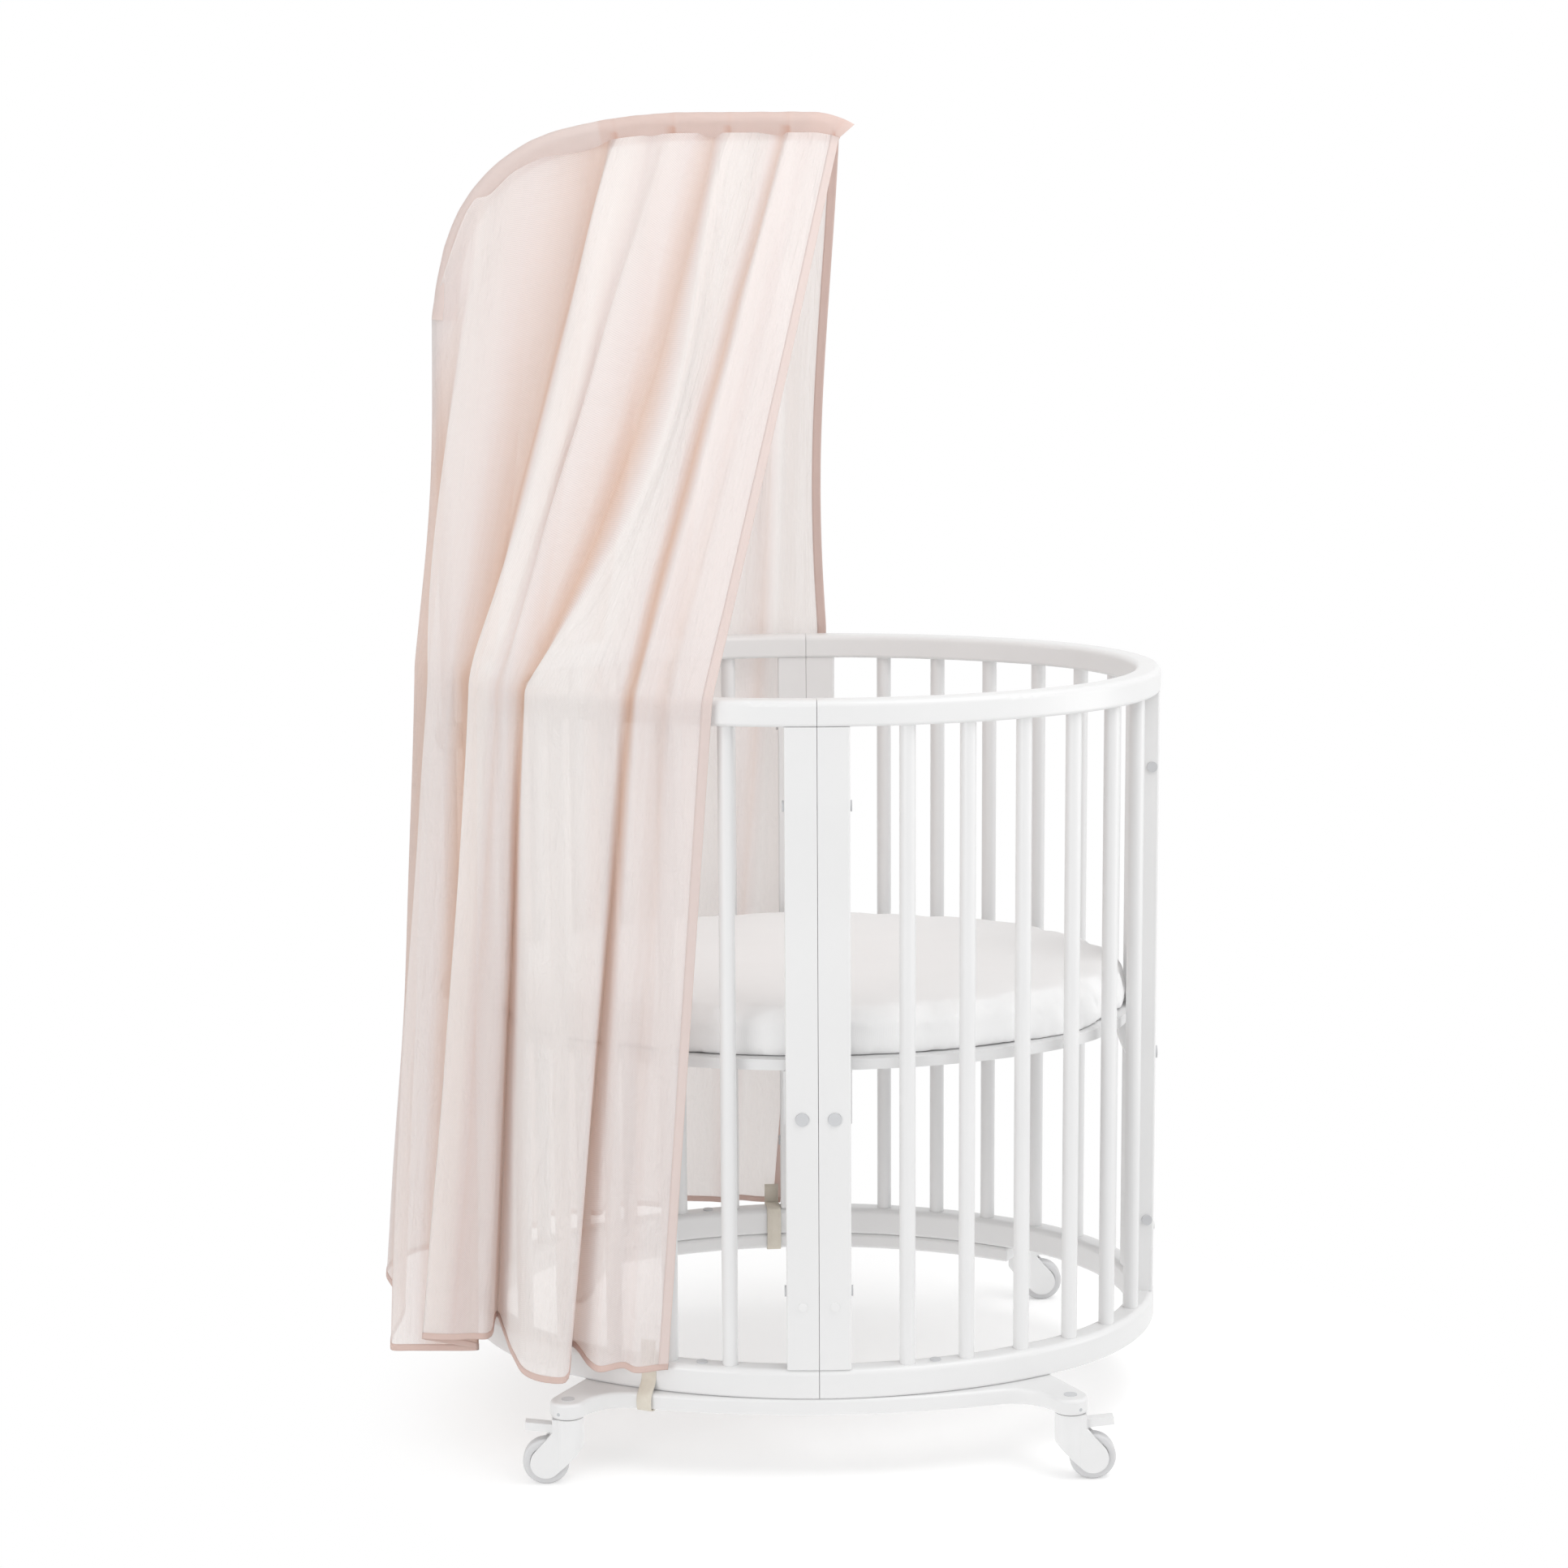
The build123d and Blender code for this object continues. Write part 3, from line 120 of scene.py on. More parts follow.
# Filling of the mattress: frames of its simulation, and in metres the most that the cover may swell and the
# height of its lower edge that is pressed onto the base
FILL_FRAMES = 20
MOST_SWELL = 0.008
SEATED = 0.012

# Tape of the straps in millimetres, and the points round it as shares of half its width and its thickness
TAPE_WIDTH = 18.0
TAPE_THICKNESS = 1.2
TAPE_SECTION = ((-1, 0), (-0.94, 0.5), (0.94, 0.5), (1, 0), (0.94, -0.5), (-0.94, -0.5))

# Threads and slubs of the cloths in millimetres
PERCALE_THREAD = 2.0
TAPE_RIB = 1.8
TAPE_SLUB = 11.1
VOILE_SLUB = 16.7

# Floor: middle of the part that shows its shadow, and the distances over which it fades to white, in metres
SHADOW_MIDDLE = (0.13, -0.06, 0)
SHADOW_FADE = (0.4, 0.7)

# Fold lines of the canopy, listed from the head end to the free edge. Each has its place along the rod, its
# place along the rail from the head end and how far it stands off it, the same two and a lift at the hem, how
# far it stands out of (or sinks into) the slope between rod and rail, how far it swings towards the foot end
# on the way down that slope, and how dark its cloth is drawn: partly how closely it lies, 1 being a closed
# fold, and partly painted shade, high in the valleys and on flanks turned from the light, none on lit ridges.
FRONT_FOLDS = (
    (60, 0, 54, 0, 98, 0, 0, 0, 0.7),
    (80, 36, 40, 62, 84, 0, -6, 0, 0.95),
    (200, 60, 38, 162, 140, 0, -3, -16, 0.7),
    (215, 68, 40, 172, 144, 0, 5, -14, 0.18),
    (260, 96, 20, 181, 127, 0, 3, -2, 0.32),
    (345, 118, 10, 193, 106, 0, -20, -12, 0.85),
    (378, 144, 4, 216, 64, 0, -4, -12, 1.15),
    (391, 174, 28, 192, 122, 17, 20, 20, 0.0),
    (403, 188, 18, 201, 111, 17, 16, 22, 0.0),
    (430, 204, 12, 211, 96, 17, -4, 0, 0.46),
    (455, 216, 9, 220, 78, 17, 13, -4, 0.26),
    (480, 228, 6, 228, 62, 16, 4, 16, 0.5),
    (502, 240, 2.5, 168, 6, 14, -16, 10, 1.0),
    (520, 249, 10, 252, 52, 4, 17, 62, 0.0),
    (530, 264, 9, 294, 88, -2, 12, 52, 0.0),
    (548, 312, 5, 320, 93, -4, 4, 20, 0.05),
    (566, 370, 8, 337, 83, -4, -6, -6, 0.25),
    (581, 384, 2.5, 296, 5, 8, -9, -9, 1.0),
    (590, 398, 15, 342, 38, 2, 14, 4, 0.28),
    (602, 410, 9, 357, 44, 0, 11, 2, 0.32),
    (613, 424, 4, 376, 26, 2, 7, 0, 0.44),
    (623, 436, 12, 392, 31, 0, 5, 0, 0.32),
    (637, 468, 9, 412, 15, 0, 1, 0, 0.32),
    (646, 479, 9, 421, 9, 0, 0, 0, 0.1),
)
BACK_FOLDS = (
    (60, 0, 54, 0, 98, 0, 0, 0, 0.7),
    (78, 40, 47, 44, 117, 0, 2, 0, 0.15),
    (110, 76, 36, 98, 110, 0, 4, 0, 0.1),
    (180, 104, 25, 124, 94, 0, 2, 0, 0.2),
    (250, 136, 10, 160, 48, 4, -8, 0, 0.7),
    (280, 150, 8, 172, 56, 2, -3, 0, 0.5),
    (295, 162, 14, 186, 74, 0, 9, 0, 0.0),
    (330, 192, 7, 214, 60, 0, 4, 0, 0.1),
    (360, 224, 4, 236, 18, 6, -7, 0, 0.7),
    (385, 244, 13, 262, 68, 0, 8, 0, 0.0),
    (415, 288, 6, 300, 60, 0, 3, 0, 0.1),
    (440, 318, 4, 314, 18, 6, -7, 0, 0.7),
    (460, 338, 13, 346, 60, 0, 8, 0, 0.0),
    (490, 388, 6, 384, 48, 0, 3, 0, 0.1),
    (510, 428, 4, 402, 15, 5, -6, 0, 0.6),
    (528, 446, 13, 432, 50, 0, 8, 0, 0.0),
    (556, 498, 6, 466, 38, 0, 3, 0, 0.1),
    (578, 536, 4, 482, 14, 4, -6, 0, 0.5),
    (594, 556, 12, 506, 34, 0, 6, 0, 0.0),
    (614, 577, 7, 524, 24, 0, 2, -6, 0.0),
    (636, 606, 8, 546, 16, 0, 0, -12, 0.1),
    (646, 617, 8, 555, 14, 0, 0, -12, 0.1),
)


def linear(hex_colour):
    """An sRGB hex colour as the linear values that shaders take."""
    parts = [int(hex_colour[place:place + 2], 16) / 255 for place in (0, 2, 4)]
    flat = [part / 12.92 if part <= 0.04045 else ((part + 0.055) / 1.055) ** 2.4 for part in parts]
    return (*flat, 1.0)


def add_node(tree, kind, settings=None, links=None):
    """Add a shader node, set its properties, inputs or colour stops, and link inputs to other outputs."""
    made = tree.nodes.new(kind)
    for name, value in (settings or {}).items():
        if name == "stops":
            stops = made.color_ramp.elements
            for count, (position, colour) in enumerate(value):
                stop = stops[count] if count < 2 else stops.new(position)
                stop.position = position
                stop.color = colour
        elif isinstance(name, int) or name in made.inputs:
            made.inputs[name].default_value = value
        else:
            setattr(made, name, value)
    for name, source in (links or {}).items():
        tree.links.new(source, made.inputs[name])
    return made


def new_material(name):
    """An empty node material and its tree."""
    material = bpy.data.materials.new(name)
    material.use_nodes = True
    material.node_tree.nodes.clear()
    return material, material.node_tree


def finish_material(tree, surface):
    """Show a shader on the surface."""
    add_node(tree, "ShaderNodeOutputMaterial", links={"Surface": surface})


def per_metre(size):
    """Scale of a pattern whose patches are about a size in millimetres."""
    return 1 / (size * MM)


# Materials

def lacquered_beech(settings):
    """White satin lacquer sprayed on sanded beech: an even white with a soft sheen, and a trace of the
    grain and of the spray's orange peel when the light skims it. Both are drawn about 3 mm wide, coarser
    than real, so that they show."""
    material, tree = new_material("white_lacquered_beech")
    place = add_node(tree, "ShaderNodeTexCoord").outputs["Object"]
    streak = (per_metre(3.125), per_metre(3.125), per_metre(45.5))
    stretch = add_node(tree, "ShaderNodeMapping", {"Scale": streak}, {"Vector": place})
    grain = add_node(
        tree, "ShaderNodeTexNoise", {"Scale": 1.0, "Detail": 3.0}, {"Vector": stretch.outputs[0]}
    )
    peel = add_node(tree, "ShaderNodeTexNoise", {"Scale": per_metre(2.38), "Detail": 2.0}, {"Vector": place})
    tone = add_node(tree, "ShaderNodeTexNoise", {"Scale": per_metre(143), "Detail": 2.0}, {"Vector": place})
    colour = add_node(
        tree, "ShaderNodeValToRGB", {"stops": ((0, settings.lacquer), (1, settings.lacquer_light))},
        {"Fac": tone.outputs["Fac"]},
    )
    rough = add_node(
        tree, "ShaderNodeMapRange", {"To Min": 0.3, "To Max": 0.44}, {"Value": tone.outputs["Fac"]}
    )
    relief = add_node(
        tree, "ShaderNodeMath", {"operation": "MULTIPLY_ADD", 1: 0.35},
        {0: grain.outputs["Fac"], 2: peel.outputs["Fac"]},
    )
    bump = add_node(
        tree, "ShaderNodeBump", {"Strength": 0.05, "Distance": 0.0006}, {"Height": relief.outputs[0]}
    )
    shader = add_node(
        tree, "ShaderNodeBsdfPrincipled",
        {"IOR": 1.5, "Coat Weight": 0.25, "Coat Roughness": 0.25},
        {"Base Color": colour.outputs[0], "Roughness": rough.outputs[0], "Normal": bump.outputs[0]},
    )
    finish_material(tree, shader.outputs[0])
    return material


def bare_beech():
    """Turned beech left bare: warm straw with fine darker rays, 1 mm wide, along the dowel."""
    material, tree = new_material("bare_beech")
    place = add_node(tree, "ShaderNodeTexCoord").outputs["Object"]
    streak = (per_metre(1.11), per_metre(1.11), per_metre(16.7))
    stretch = add_node(tree, "ShaderNodeMapping", {"Scale": streak}, {"Vector": place})
    rays = add_node(
        tree, "ShaderNodeTexNoise", {"Scale": 1.0, "Detail": 4.0}, {"Vector": stretch.outputs[0]}
    )
    colour = add_node(
        tree, "ShaderNodeValToRGB", {"stops": ((0, linear("C9A57C")), (1, linear("E2C8A2")))},
        {"Fac": rays.outputs["Fac"]},
    )
    shader = add_node(
        tree, "ShaderNodeBsdfPrincipled", {"Roughness": 0.6}, {"Base Color": colour.outputs[0]}
    )
    finish_material(tree, shader.outputs[0])
    return material


def melamine_board():
    """White melamine paper pressed on chipboard: flat white with a pressed tooth of about 1.4 mm."""
    material, tree = new_material("white_melamine_board")
    place = add_node(tree, "ShaderNodeTexCoord").outputs["Object"]
    tooth = add_node(tree, "ShaderNodeTexNoise", {"Scale": per_metre(1.43), "Detail": 2.0}, {"Vector": place})
    tone = add_node(tree, "ShaderNodeTexNoise", {"Scale": per_metre(111)}, {"Vector": place})
    colour = add_node(
        tree, "ShaderNodeValToRGB", {"stops": ((0, linear("E4E4E4")), (1, linear("EAEAEA")))},
        {"Fac": tone.outputs["Fac"]},
    )
    bump = add_node(
        tree, "ShaderNodeBump", {"Strength": 0.12, "Distance": 0.0004}, {"Height": tooth.outputs["Fac"]}
    )
    shader = add_node(
        tree, "ShaderNodeBsdfPrincipled", {"Roughness": 0.5},
        {"Base Color": colour.outputs[0], "Normal": bump.outputs[0]},
    )
    finish_material(tree, shader.outputs[0])
    return material


def moulded_plastic(name, low, high, roughness, tooth_size):
    """Injection-moulded plastic, or a powder coat or paint as even as that: one colour all over, and a fine
    tooth that dulls the shine a little."""
    material, tree = new_material(name)
    place = add_node(tree, "ShaderNodeTexCoord").outputs["Object"]
    tooth = add_node(
        tree, "ShaderNodeTexNoise", {"Scale": 1.0 / tooth_size, "Detail": 2.0}, {"Vector": place}
    )
    tone = add_node(tree, "ShaderNodeTexNoise", {"Scale": per_metre(40)}, {"Vector": place})
    colour = add_node(
        tree, "ShaderNodeValToRGB", {"stops": ((0, linear(low)), (1, linear(high)))},
        {"Fac": tone.outputs["Fac"]},
    )
    rough = add_node(
        tree, "ShaderNodeMapRange", {"To Min": roughness - 0.06, "To Max": roughness + 0.06},
        {"Value": tone.outputs["Fac"]},
    )
    bump = add_node(
        tree, "ShaderNodeBump", {"Strength": 0.1, "Distance": 0.0003}, {"Height": tooth.outputs["Fac"]}
    )
    shader = add_node(
        tree, "ShaderNodeBsdfPrincipled", {"IOR": 1.46},
        {"Base Color": colour.outputs[0], "Roughness": rough.outputs[0], "Normal": bump.outputs[0]},
    )
    finish_material(tree, shader.outputs[0])
    return material


def zinc_steel():
    """Zinc-plated steel: cool grey metal with a mottled crystal bloom of about 1 mm."""
    material, tree = new_material("zinc_plated_steel")
    place = add_node(tree, "ShaderNodeTexCoord").outputs["Object"]
    bloom = add_node(tree, "ShaderNodeTexNoise", {"Scale": per_metre(1.11), "Detail": 3.0}, {"Vector": place})
    colour = add_node(
        tree, "ShaderNodeValToRGB", {"stops": ((0, linear("B4B6B9")), (1, linear("D3D5D7")))},
        {"Fac": bloom.outputs["Fac"]},
    )
    rough = add_node(
        tree, "ShaderNodeMapRange", {"To Min": 0.28, "To Max": 0.45}, {"Value": bloom.outputs["Fac"]}
    )
    shader = add_node(
        tree, "ShaderNodeBsdfPrincipled", {"Metallic": 1.0},
        {"Base Color": colour.outputs[0], "Roughness": rough.outputs[0]},
    )
    finish_material(tree, shader.outputs[0])
    return material


def plain_weave(tree, place, thread, shift=None):
    """Height of crossed threads over a place in metres, made uneven by a shift of their phase."""
    parts = add_node(tree, "ShaderNodeSeparateXYZ", links={"Vector": place})
    waves = []
    for axis in ("X", "Y"):
        links = {0: parts.outputs[axis]}
        if shift:
            links[2] = shift
        turns = {"operation": "MULTIPLY_ADD", 1: math.tau / thread, 2: 0.0}
        phase = add_node(tree, "ShaderNodeMath", turns, links)
        waves.append(add_node(tree, "ShaderNodeMath", {"operation": "SINE"}, {0: phase.outputs[0]}))
    crossed = add_node(
        tree, "ShaderNodeMath", {"operation": "MULTIPLY"}, {0: waves[0].outputs[0], 1: waves[1].outputs[0]}
    )
    return crossed.outputs[0]


def cloth_patches(tree, flat, wide, deep, settings):
    """Patches on the flat cloth, with their width and depth in millimetres."""
    scale = {"Scale": (per_metre(wide), per_metre(deep), 1)}
    stretch = add_node(tree, "ShaderNodeMapping", scale, {"Vector": flat})
    patches = add_node(tree, "ShaderNodeTexNoise", {"Scale": 1.0, **settings}, {"Vector": stretch.outputs[0]})
    return patches.outputs["Fac"]


def cotton_voile(settings):
    """Sheer cotton voile, dyed pale pink: fine crossed threads with slubs, a little see-through face on,
    warmer and darker where folds stack it up and where painted shade lies in the folds' valleys and on flanks
    turned from the light. Threads and slubs are drawn coarser than real, so that they show."""
    material, tree = new_material("pale_pink_cotton_voile")
    flat = add_node(tree, "ShaderNodeUVMap").outputs["UV"]
    uneven = add_node(
        tree, "ShaderNodeTexNoise", {"Scale": per_metre(VOILE_SLUB), "Detail": 3.0}, {"Vector": flat}
    ).outputs["Fac"]
    weave = plain_weave(tree, flat, settings.thread, uneven)
    streaks = cloth_patches(tree, flat, 6.67, 200, {"Detail": 4.0})
    cross = cloth_patches(tree, flat, 167, 3.85, {"Detail": 3.0})
    slubs = add_node(
        tree, "ShaderNodeMath", {"operation": "MULTIPLY_ADD", 1: 0.5}, {0: cross, 2: streaks}
    )
    # Density of the cloth kept on the mesh, with the painted shade of valleys and shaded flanks in it
    fold_density_and_shade = add_node(tree, "ShaderNodeAttribute", {"attribute_name": "fold_density_and_shade"}).outputs["Fac"]
    density_and_shade = add_node(
        tree, "ShaderNodeMath", {"operation": "MULTIPLY_ADD", 1: -0.08}, {0: slubs.outputs[0], 2: fold_density_and_shade}
    )
    # Stacked folds and painted shade: pale where the cloth lies open, tan to brown where it is denser or
    # shaded
    stops = (
        (0, settings.open_colour), (1, linear("C39A84")), (0.3 / MOST_DENSITY_AND_SHADE, linear("F4EDEC")),
        (1 / MOST_DENSITY_AND_SHADE, settings.fold_and_shade_colour),
    )
    colour = add_node(tree, "ShaderNodeValToRGB", {"stops": stops}, {"Fac": density_and_shade.outputs[0]})
    # Light let through turns warmer with the same density and painted shade
    stops = ((0, linear("FBF0EB")), (1 / MOST_DENSITY_AND_SHADE, linear("E6BDA8")))
    through = add_node(tree, "ShaderNodeValToRGB", {"stops": stops}, {"Fac": density_and_shade.outputs[0]})
    crinkle = cloth_patches(tree, flat, 10.53, 143, {"Detail": 4.0, "Roughness": 0.6})
    rumple = cloth_patches(tree, flat, 33.3, 58.8, {"Detail": 5.0, "Roughness": 0.55, "Distortion": 0.9})
    creases = add_node(
        tree, "ShaderNodeMath", {"operation": "MULTIPLY_ADD", 1: 1.6}, {0: rumple, 2: crinkle}
    )
    creased = add_node(
        tree, "ShaderNodeBump", {"Strength": 0.6, "Distance": 0.005}, {"Height": creases.outputs[0]}
    )
    bump = add_node(
        tree, "ShaderNodeBump", {"Strength": 0.15, "Distance": 0.0004},
        {"Height": weave, "Normal": creased.outputs[0]},
    )
    cloth = add_node(
        tree, "ShaderNodeBsdfPrincipled",
        {"Roughness": 0.85, "Sheen Weight": 0.15, "Sheen Roughness": 0.5, "Specular IOR Level": 0.15},
        {"Base Color": colour.outputs[0], "Normal": bump.outputs[0]},
    )
    glow = add_node(
        tree, "ShaderNodeBsdfTranslucent", links={"Color": through.outputs[0], "Normal": bump.outputs[0]}
    )
    lit = add_node(
        tree, "ShaderNodeMixShader", {"Fac": settings.glow}, {1: cloth.outputs[0], 2: glow.outputs[0]}
    )
    holes = add_node(tree, "ShaderNodeBsdfTransparent", {"Color": linear("FFFFFF")})
    gaps = add_node(
        tree, "ShaderNodeMapRange",
        {"From Min": -1.0, "From Max": 1.0, "To Min": settings.sheer - 0.08, "To Max": settings.sheer + 0.08},
        {"Value": weave},
    )
    sheer = add_node(
        tree, "ShaderNodeMixShader", links={0: gaps.outputs[0], 1: lit.outputs[0], 2: holes.outputs[0]}
    )
    finish_material(tree, sheer.outputs[0])
    return material


def hemmed_voile(settings):
    """The same voile turned over twice and stitched: three layers, so a deeper pink that hides what is
    behind, and darker still where painted shade is put in its density, most on the bottom hem.
    """
    material, tree = new_material("hemmed_pink_voile")
    flat = add_node(tree, "ShaderNodeUVMap").outputs["UV"]
    slubs = add_node(
        tree, "ShaderNodeTexNoise", {"Scale": per_metre(VOILE_SLUB), "Detail": 3.0}, {"Vector": flat}
    ).outputs["Fac"]
    weave = plain_weave(tree, flat, settings.thread, slubs)
    # Density of the hem, with painted shade in it, darkens its pink
    fold_density_and_shade = add_node(tree, "ShaderNodeAttribute", {"attribute_name": "fold_density_and_shade"}).outputs["Fac"]
    density_and_shade = add_node(tree, "ShaderNodeMath", {"operation": "MULTIPLY_ADD", 1: 0.07}, {0: slubs, 2: fold_density_and_shade})
    stops = ((0, linear("F6EDEA")), (1 / MOST_DENSITY_AND_SHADE, linear("E2BDAE")))
    colour = add_node(tree, "ShaderNodeValToRGB", {"stops": stops}, {"Fac": density_and_shade.outputs[0]})
    bump = add_node(tree, "ShaderNodeBump", {"Strength": 0.3, "Distance": 0.0004}, {"Height": weave})
    cloth = add_node(
        tree, "ShaderNodeBsdfPrincipled",
        {"Roughness": 0.85, "Sheen Weight": 0.15, "Specular IOR Level": 0.15},
        {"Base Color": colour.outputs[0], "Normal": bump.outputs[0]},
    )
    glow = add_node(
        tree, "ShaderNodeBsdfTranslucent", {"Color": linear("F3D8CD")}, {"Normal": bump.outputs[0]}
    )
    lit = add_node(tree, "ShaderNodeMixShader", {"Fac": 0.25}, {1: cloth.outputs[0], 2: glow.outputs[0]})
    finish_material(tree, lit.outputs[0])
    return material


def mattress_cotton(settings):
    """White cotton percale over foam: matt white with a fine plain weave. The weave is drawn at about eight
    times its real thread, so that it still shows in a picture of the whole crib."""
    material, tree = new_material("white_cotton_percale")
    place = add_node(tree, "ShaderNodeTexCoord").outputs["Object"]
    weave = plain_weave(tree, place, PERCALE_THREAD * MM)
    tone = add_node(tree, "ShaderNodeTexNoise", {"Scale": per_metre(71.4), "Detail": 3.0}, {"Vector": place})
    colour = add_node(
        tree, "ShaderNodeValToRGB", {"stops": ((0, settings.cover), (1, settings.cover_light))},
        {"Fac": tone.outputs["Fac"]},
    )
    bump = add_node(tree, "ShaderNodeBump", {"Strength": 0.12, "Distance": 0.0004}, {"Height": weave})
    shader = add_node(
        tree, "ShaderNodeBsdfPrincipled",
        {"Roughness": 0.9, "Sheen Weight": 0.2, "Specular IOR Level": 0.2},
        {"Base Color": colour.outputs[0], "Normal": bump.outputs[0]},
    )
    finish_material(tree, shader.outputs[0])
    return material


def cotton_tape():
    """Beige herringbone cotton tape: matt, with ribs that are drawn at about twice their real width."""
    material, tree = new_material("beige_cotton_tape")
    flat = add_node(tree, "ShaderNodeUVMap").outputs["UV"]
    slubs = add_node(
        tree, "ShaderNodeTexNoise", {"Scale": per_metre(TAPE_SLUB), "Detail": 3.0}, {"Vector": flat}
    ).outputs["Fac"]
    weave = plain_weave(tree, flat, TAPE_RIB * MM, slubs)
    stops = ((0, linear("DDD5C6")), (1, linear("EBE5D9")))
    colour = add_node(tree, "ShaderNodeValToRGB", {"stops": stops}, {"Fac": slubs})
    bump = add_node(tree, "ShaderNodeBump", {"Strength": 0.4, "Distance": 0.0005}, {"Height": weave})
    shader = add_node(
        tree, "ShaderNodeBsdfPrincipled", {"Roughness": 0.9, "Specular IOR Level": 0.15},
        {"Base Color": colour.outputs[0], "Normal": bump.outputs[0]},
    )
    finish_material(tree, shader.outputs[0])
    return material


# Shapes shared by the cloth pieces

def oval_place(along, out, side):
    """Plan point at a distance along the rail from the head end and a distance outside it; side is -1 for
    the front and 1 for the back."""
    past = QUARTER - along
    if past <= SIDE_LENGTH:
        angle = past / SIDE_RADIUS
        reach = SIDE_RADIUS + out
        return Vector((-reach * math.sin(angle), side * (reach * math.cos(angle) - SIDE_DROP), 0))
    angle = SIDE_ANGLE + (past - SIDE_LENGTH) / END_RADIUS
    reach = END_RADIUS + out
    return Vector((-(END_CENTRE + reach * math.sin(angle)), side * reach * math.cos(angle), 0))


def oval_normal(along, side):
    """Level outward direction at a place along the rail."""
    return (oval_place(along, 1, side) - oval_place(along, 0, side)).normalized()


def push_outside(point, gap):
    """Move a point out of the rails' oval, to at least a gap from its outer face."""
    x, y = abs(point.x), abs(point.y)
    angle = math.atan2(x, y + SIDE_DROP)
    if angle <= SIDE_ANGLE:
        centre, radius = Vector((0, -SIDE_DROP)), SIDE_RADIUS
    else:
        centre, radius = Vector((END_CENTRE, 0)), END_RADIUS
    arm = Vector((x, y)) - centre
    if arm.length >= radius + gap:
        return point
    moved = centre + arm.normalized() * (radius + gap)
    return Vector((math.copysign(moved.x, point.x), math.copysign(moved.y, point.y), point.z))


def rod_place(length):
    """Point of the rod's centre line at a length past the start of its bends, and its heading there."""
    x, z = ROD_X, ROD_BEND_START
    heading = math.pi / 2
    for radius, turn in ROD_BENDS:
        bend = radius * math.radians(turn)
        after = heading - min(length, bend) / radius
        x += radius * (math.sin(heading) - math.sin(after))
        z += radius * (math.cos(after) - math.cos(heading))
        heading = after
        length -= min(length, bend)
    return Vector((x + length * math.cos(heading), 0, z + length * math.sin(heading))), heading


def smooth_line(points, steps):
    """A smooth line through points: a centripetal spline with a number of steps in each stretch."""
    ends = [points[0] * 2 - points[1], *points, points[-1] * 2 - points[-2]]
    line = []
    for p0, p1, p2, p3 in zip(ends, ends[1:], ends[2:], ends[3:]):
        t1 = max((p1 - p0).length, 1e-6) ** 0.5
        t2 = t1 + max((p2 - p1).length, 1e-6) ** 0.5
        t3 = t2 + max((p3 - p2).length, 1e-6) ** 0.5
        for step in range(steps):
            t = t1 + (t2 - t1) * step / steps
            a1 = p0 * ((t1 - t) / t1) + p1 * (t / t1)
            a2 = p1 * ((t2 - t) / (t2 - t1)) + p2 * ((t - t1) / (t2 - t1))
            a3 = p2 * ((t3 - t) / (t3 - t2)) + p3 * ((t - t2) / (t3 - t2))
            b1 = a1 * ((t2 - t) / t2) + a2 * (t / t2)
            b2 = a2 * ((t3 - t) / (t3 - t1)) + a3 * ((t - t1) / (t3 - t1))
            line.append(b1 * ((t2 - t) / (t2 - t1)) + b2 * ((t - t1) / (t2 - t1)))
    line.append(points[-1].copy())
    return line


def mesh_piece(name, verts, faces, uvs=None):
    """A new mesh object from points in millimetres, with an optional UV per point in metres."""
    mesh = bpy.data.meshes.new(name)
    mesh.from_pydata([tuple(Vector(v) * MM) for v in verts], [], faces)
    if uvs:
        layer = mesh.uv_layers.new(name="UVMap")
        for loop in mesh.loops:
            layer.data[loop.index].uv = uvs[loop.vertex_index]
    piece = bpy.data.objects.new(name, mesh)
    bpy.context.scene.collection.objects.link(piece)
    for polygon in mesh.polygons:
        polygon.use_smooth = True
    mesh.update()
    return piece


def grid_faces(rows, columns, wrap=False):
    """Quads of a grid of points stored row by row; a wrapped grid closes each row on itself."""
    faces = []
    across = columns if wrap else columns - 1
    for row in range(rows - 1):
        for column in range(across):
            right = (column + 1) % columns
            low = (row + 1) * columns
            faces.append((row * columns + column, row * columns + right, low + right, low + column))
    return faces


def paint(piece, material):
    """Give a piece one material."""
    piece.data.materials.clear()
    piece.data.materials.append(material)


def tidy_normals(piece):
    """Turn all faces of a closed piece outwards."""
    build = bmesh.new()
    build.from_mesh(piece.data)
    bmesh.ops.recalc_face_normals(build, faces=build.faces)
    build.to_mesh(piece.data)
    build.free()


def share_of(value, start, span):
    """How much of a span has been passed, from 0 to 1."""
    return min(max((value - start) / span, 0), 1)


# Canopy cloth

def channel_line(length):
    """Middle of the sewn channel and its heading; past the rod's tip the empty channel droops."""
    place, heading = rod_place(length)
    past = max(length - ROD_TIP, 0)
    return place - UP * (past**2 / 180), heading


def seam_depth(length):
    """How far the channel's seam lies below the rod's middle: less on the bend, where the cloth is tight."""
    on_bend = 6
    more_on_run = 8
    return on_bend + more_on_run * share_of(length, 80, 300)


def seam_place(length, side):
    """Where the cloth leaves its channel: below the rod on the level run, beside it on the bend."""
    rod, heading = channel_line(length)
    depth = seam_depth(length)
    inward = Vector((math.sin(heading), 0, -math.cos(heading)))
    return rod + inward * depth + Vector((0, side * (HALF_SEAM - 0.6 * depth), 0))


def fold_top(fold, count, side):
    """Upper end of a fold line; the first ones wrap round the outside of the rod below its channel."""
    if count > 2:
        return seam_place(fold[0], side) + Vector((0, side * fold[6] * 0.2, 0))
    rod = rod_place(fold[0])[0]
    beside_rod = 11
    angle = math.radians(count * 45)
    return rod + Vector((-HALF_SEAM * math.cos(angle), side * beside_rod * math.sin(angle), 0))


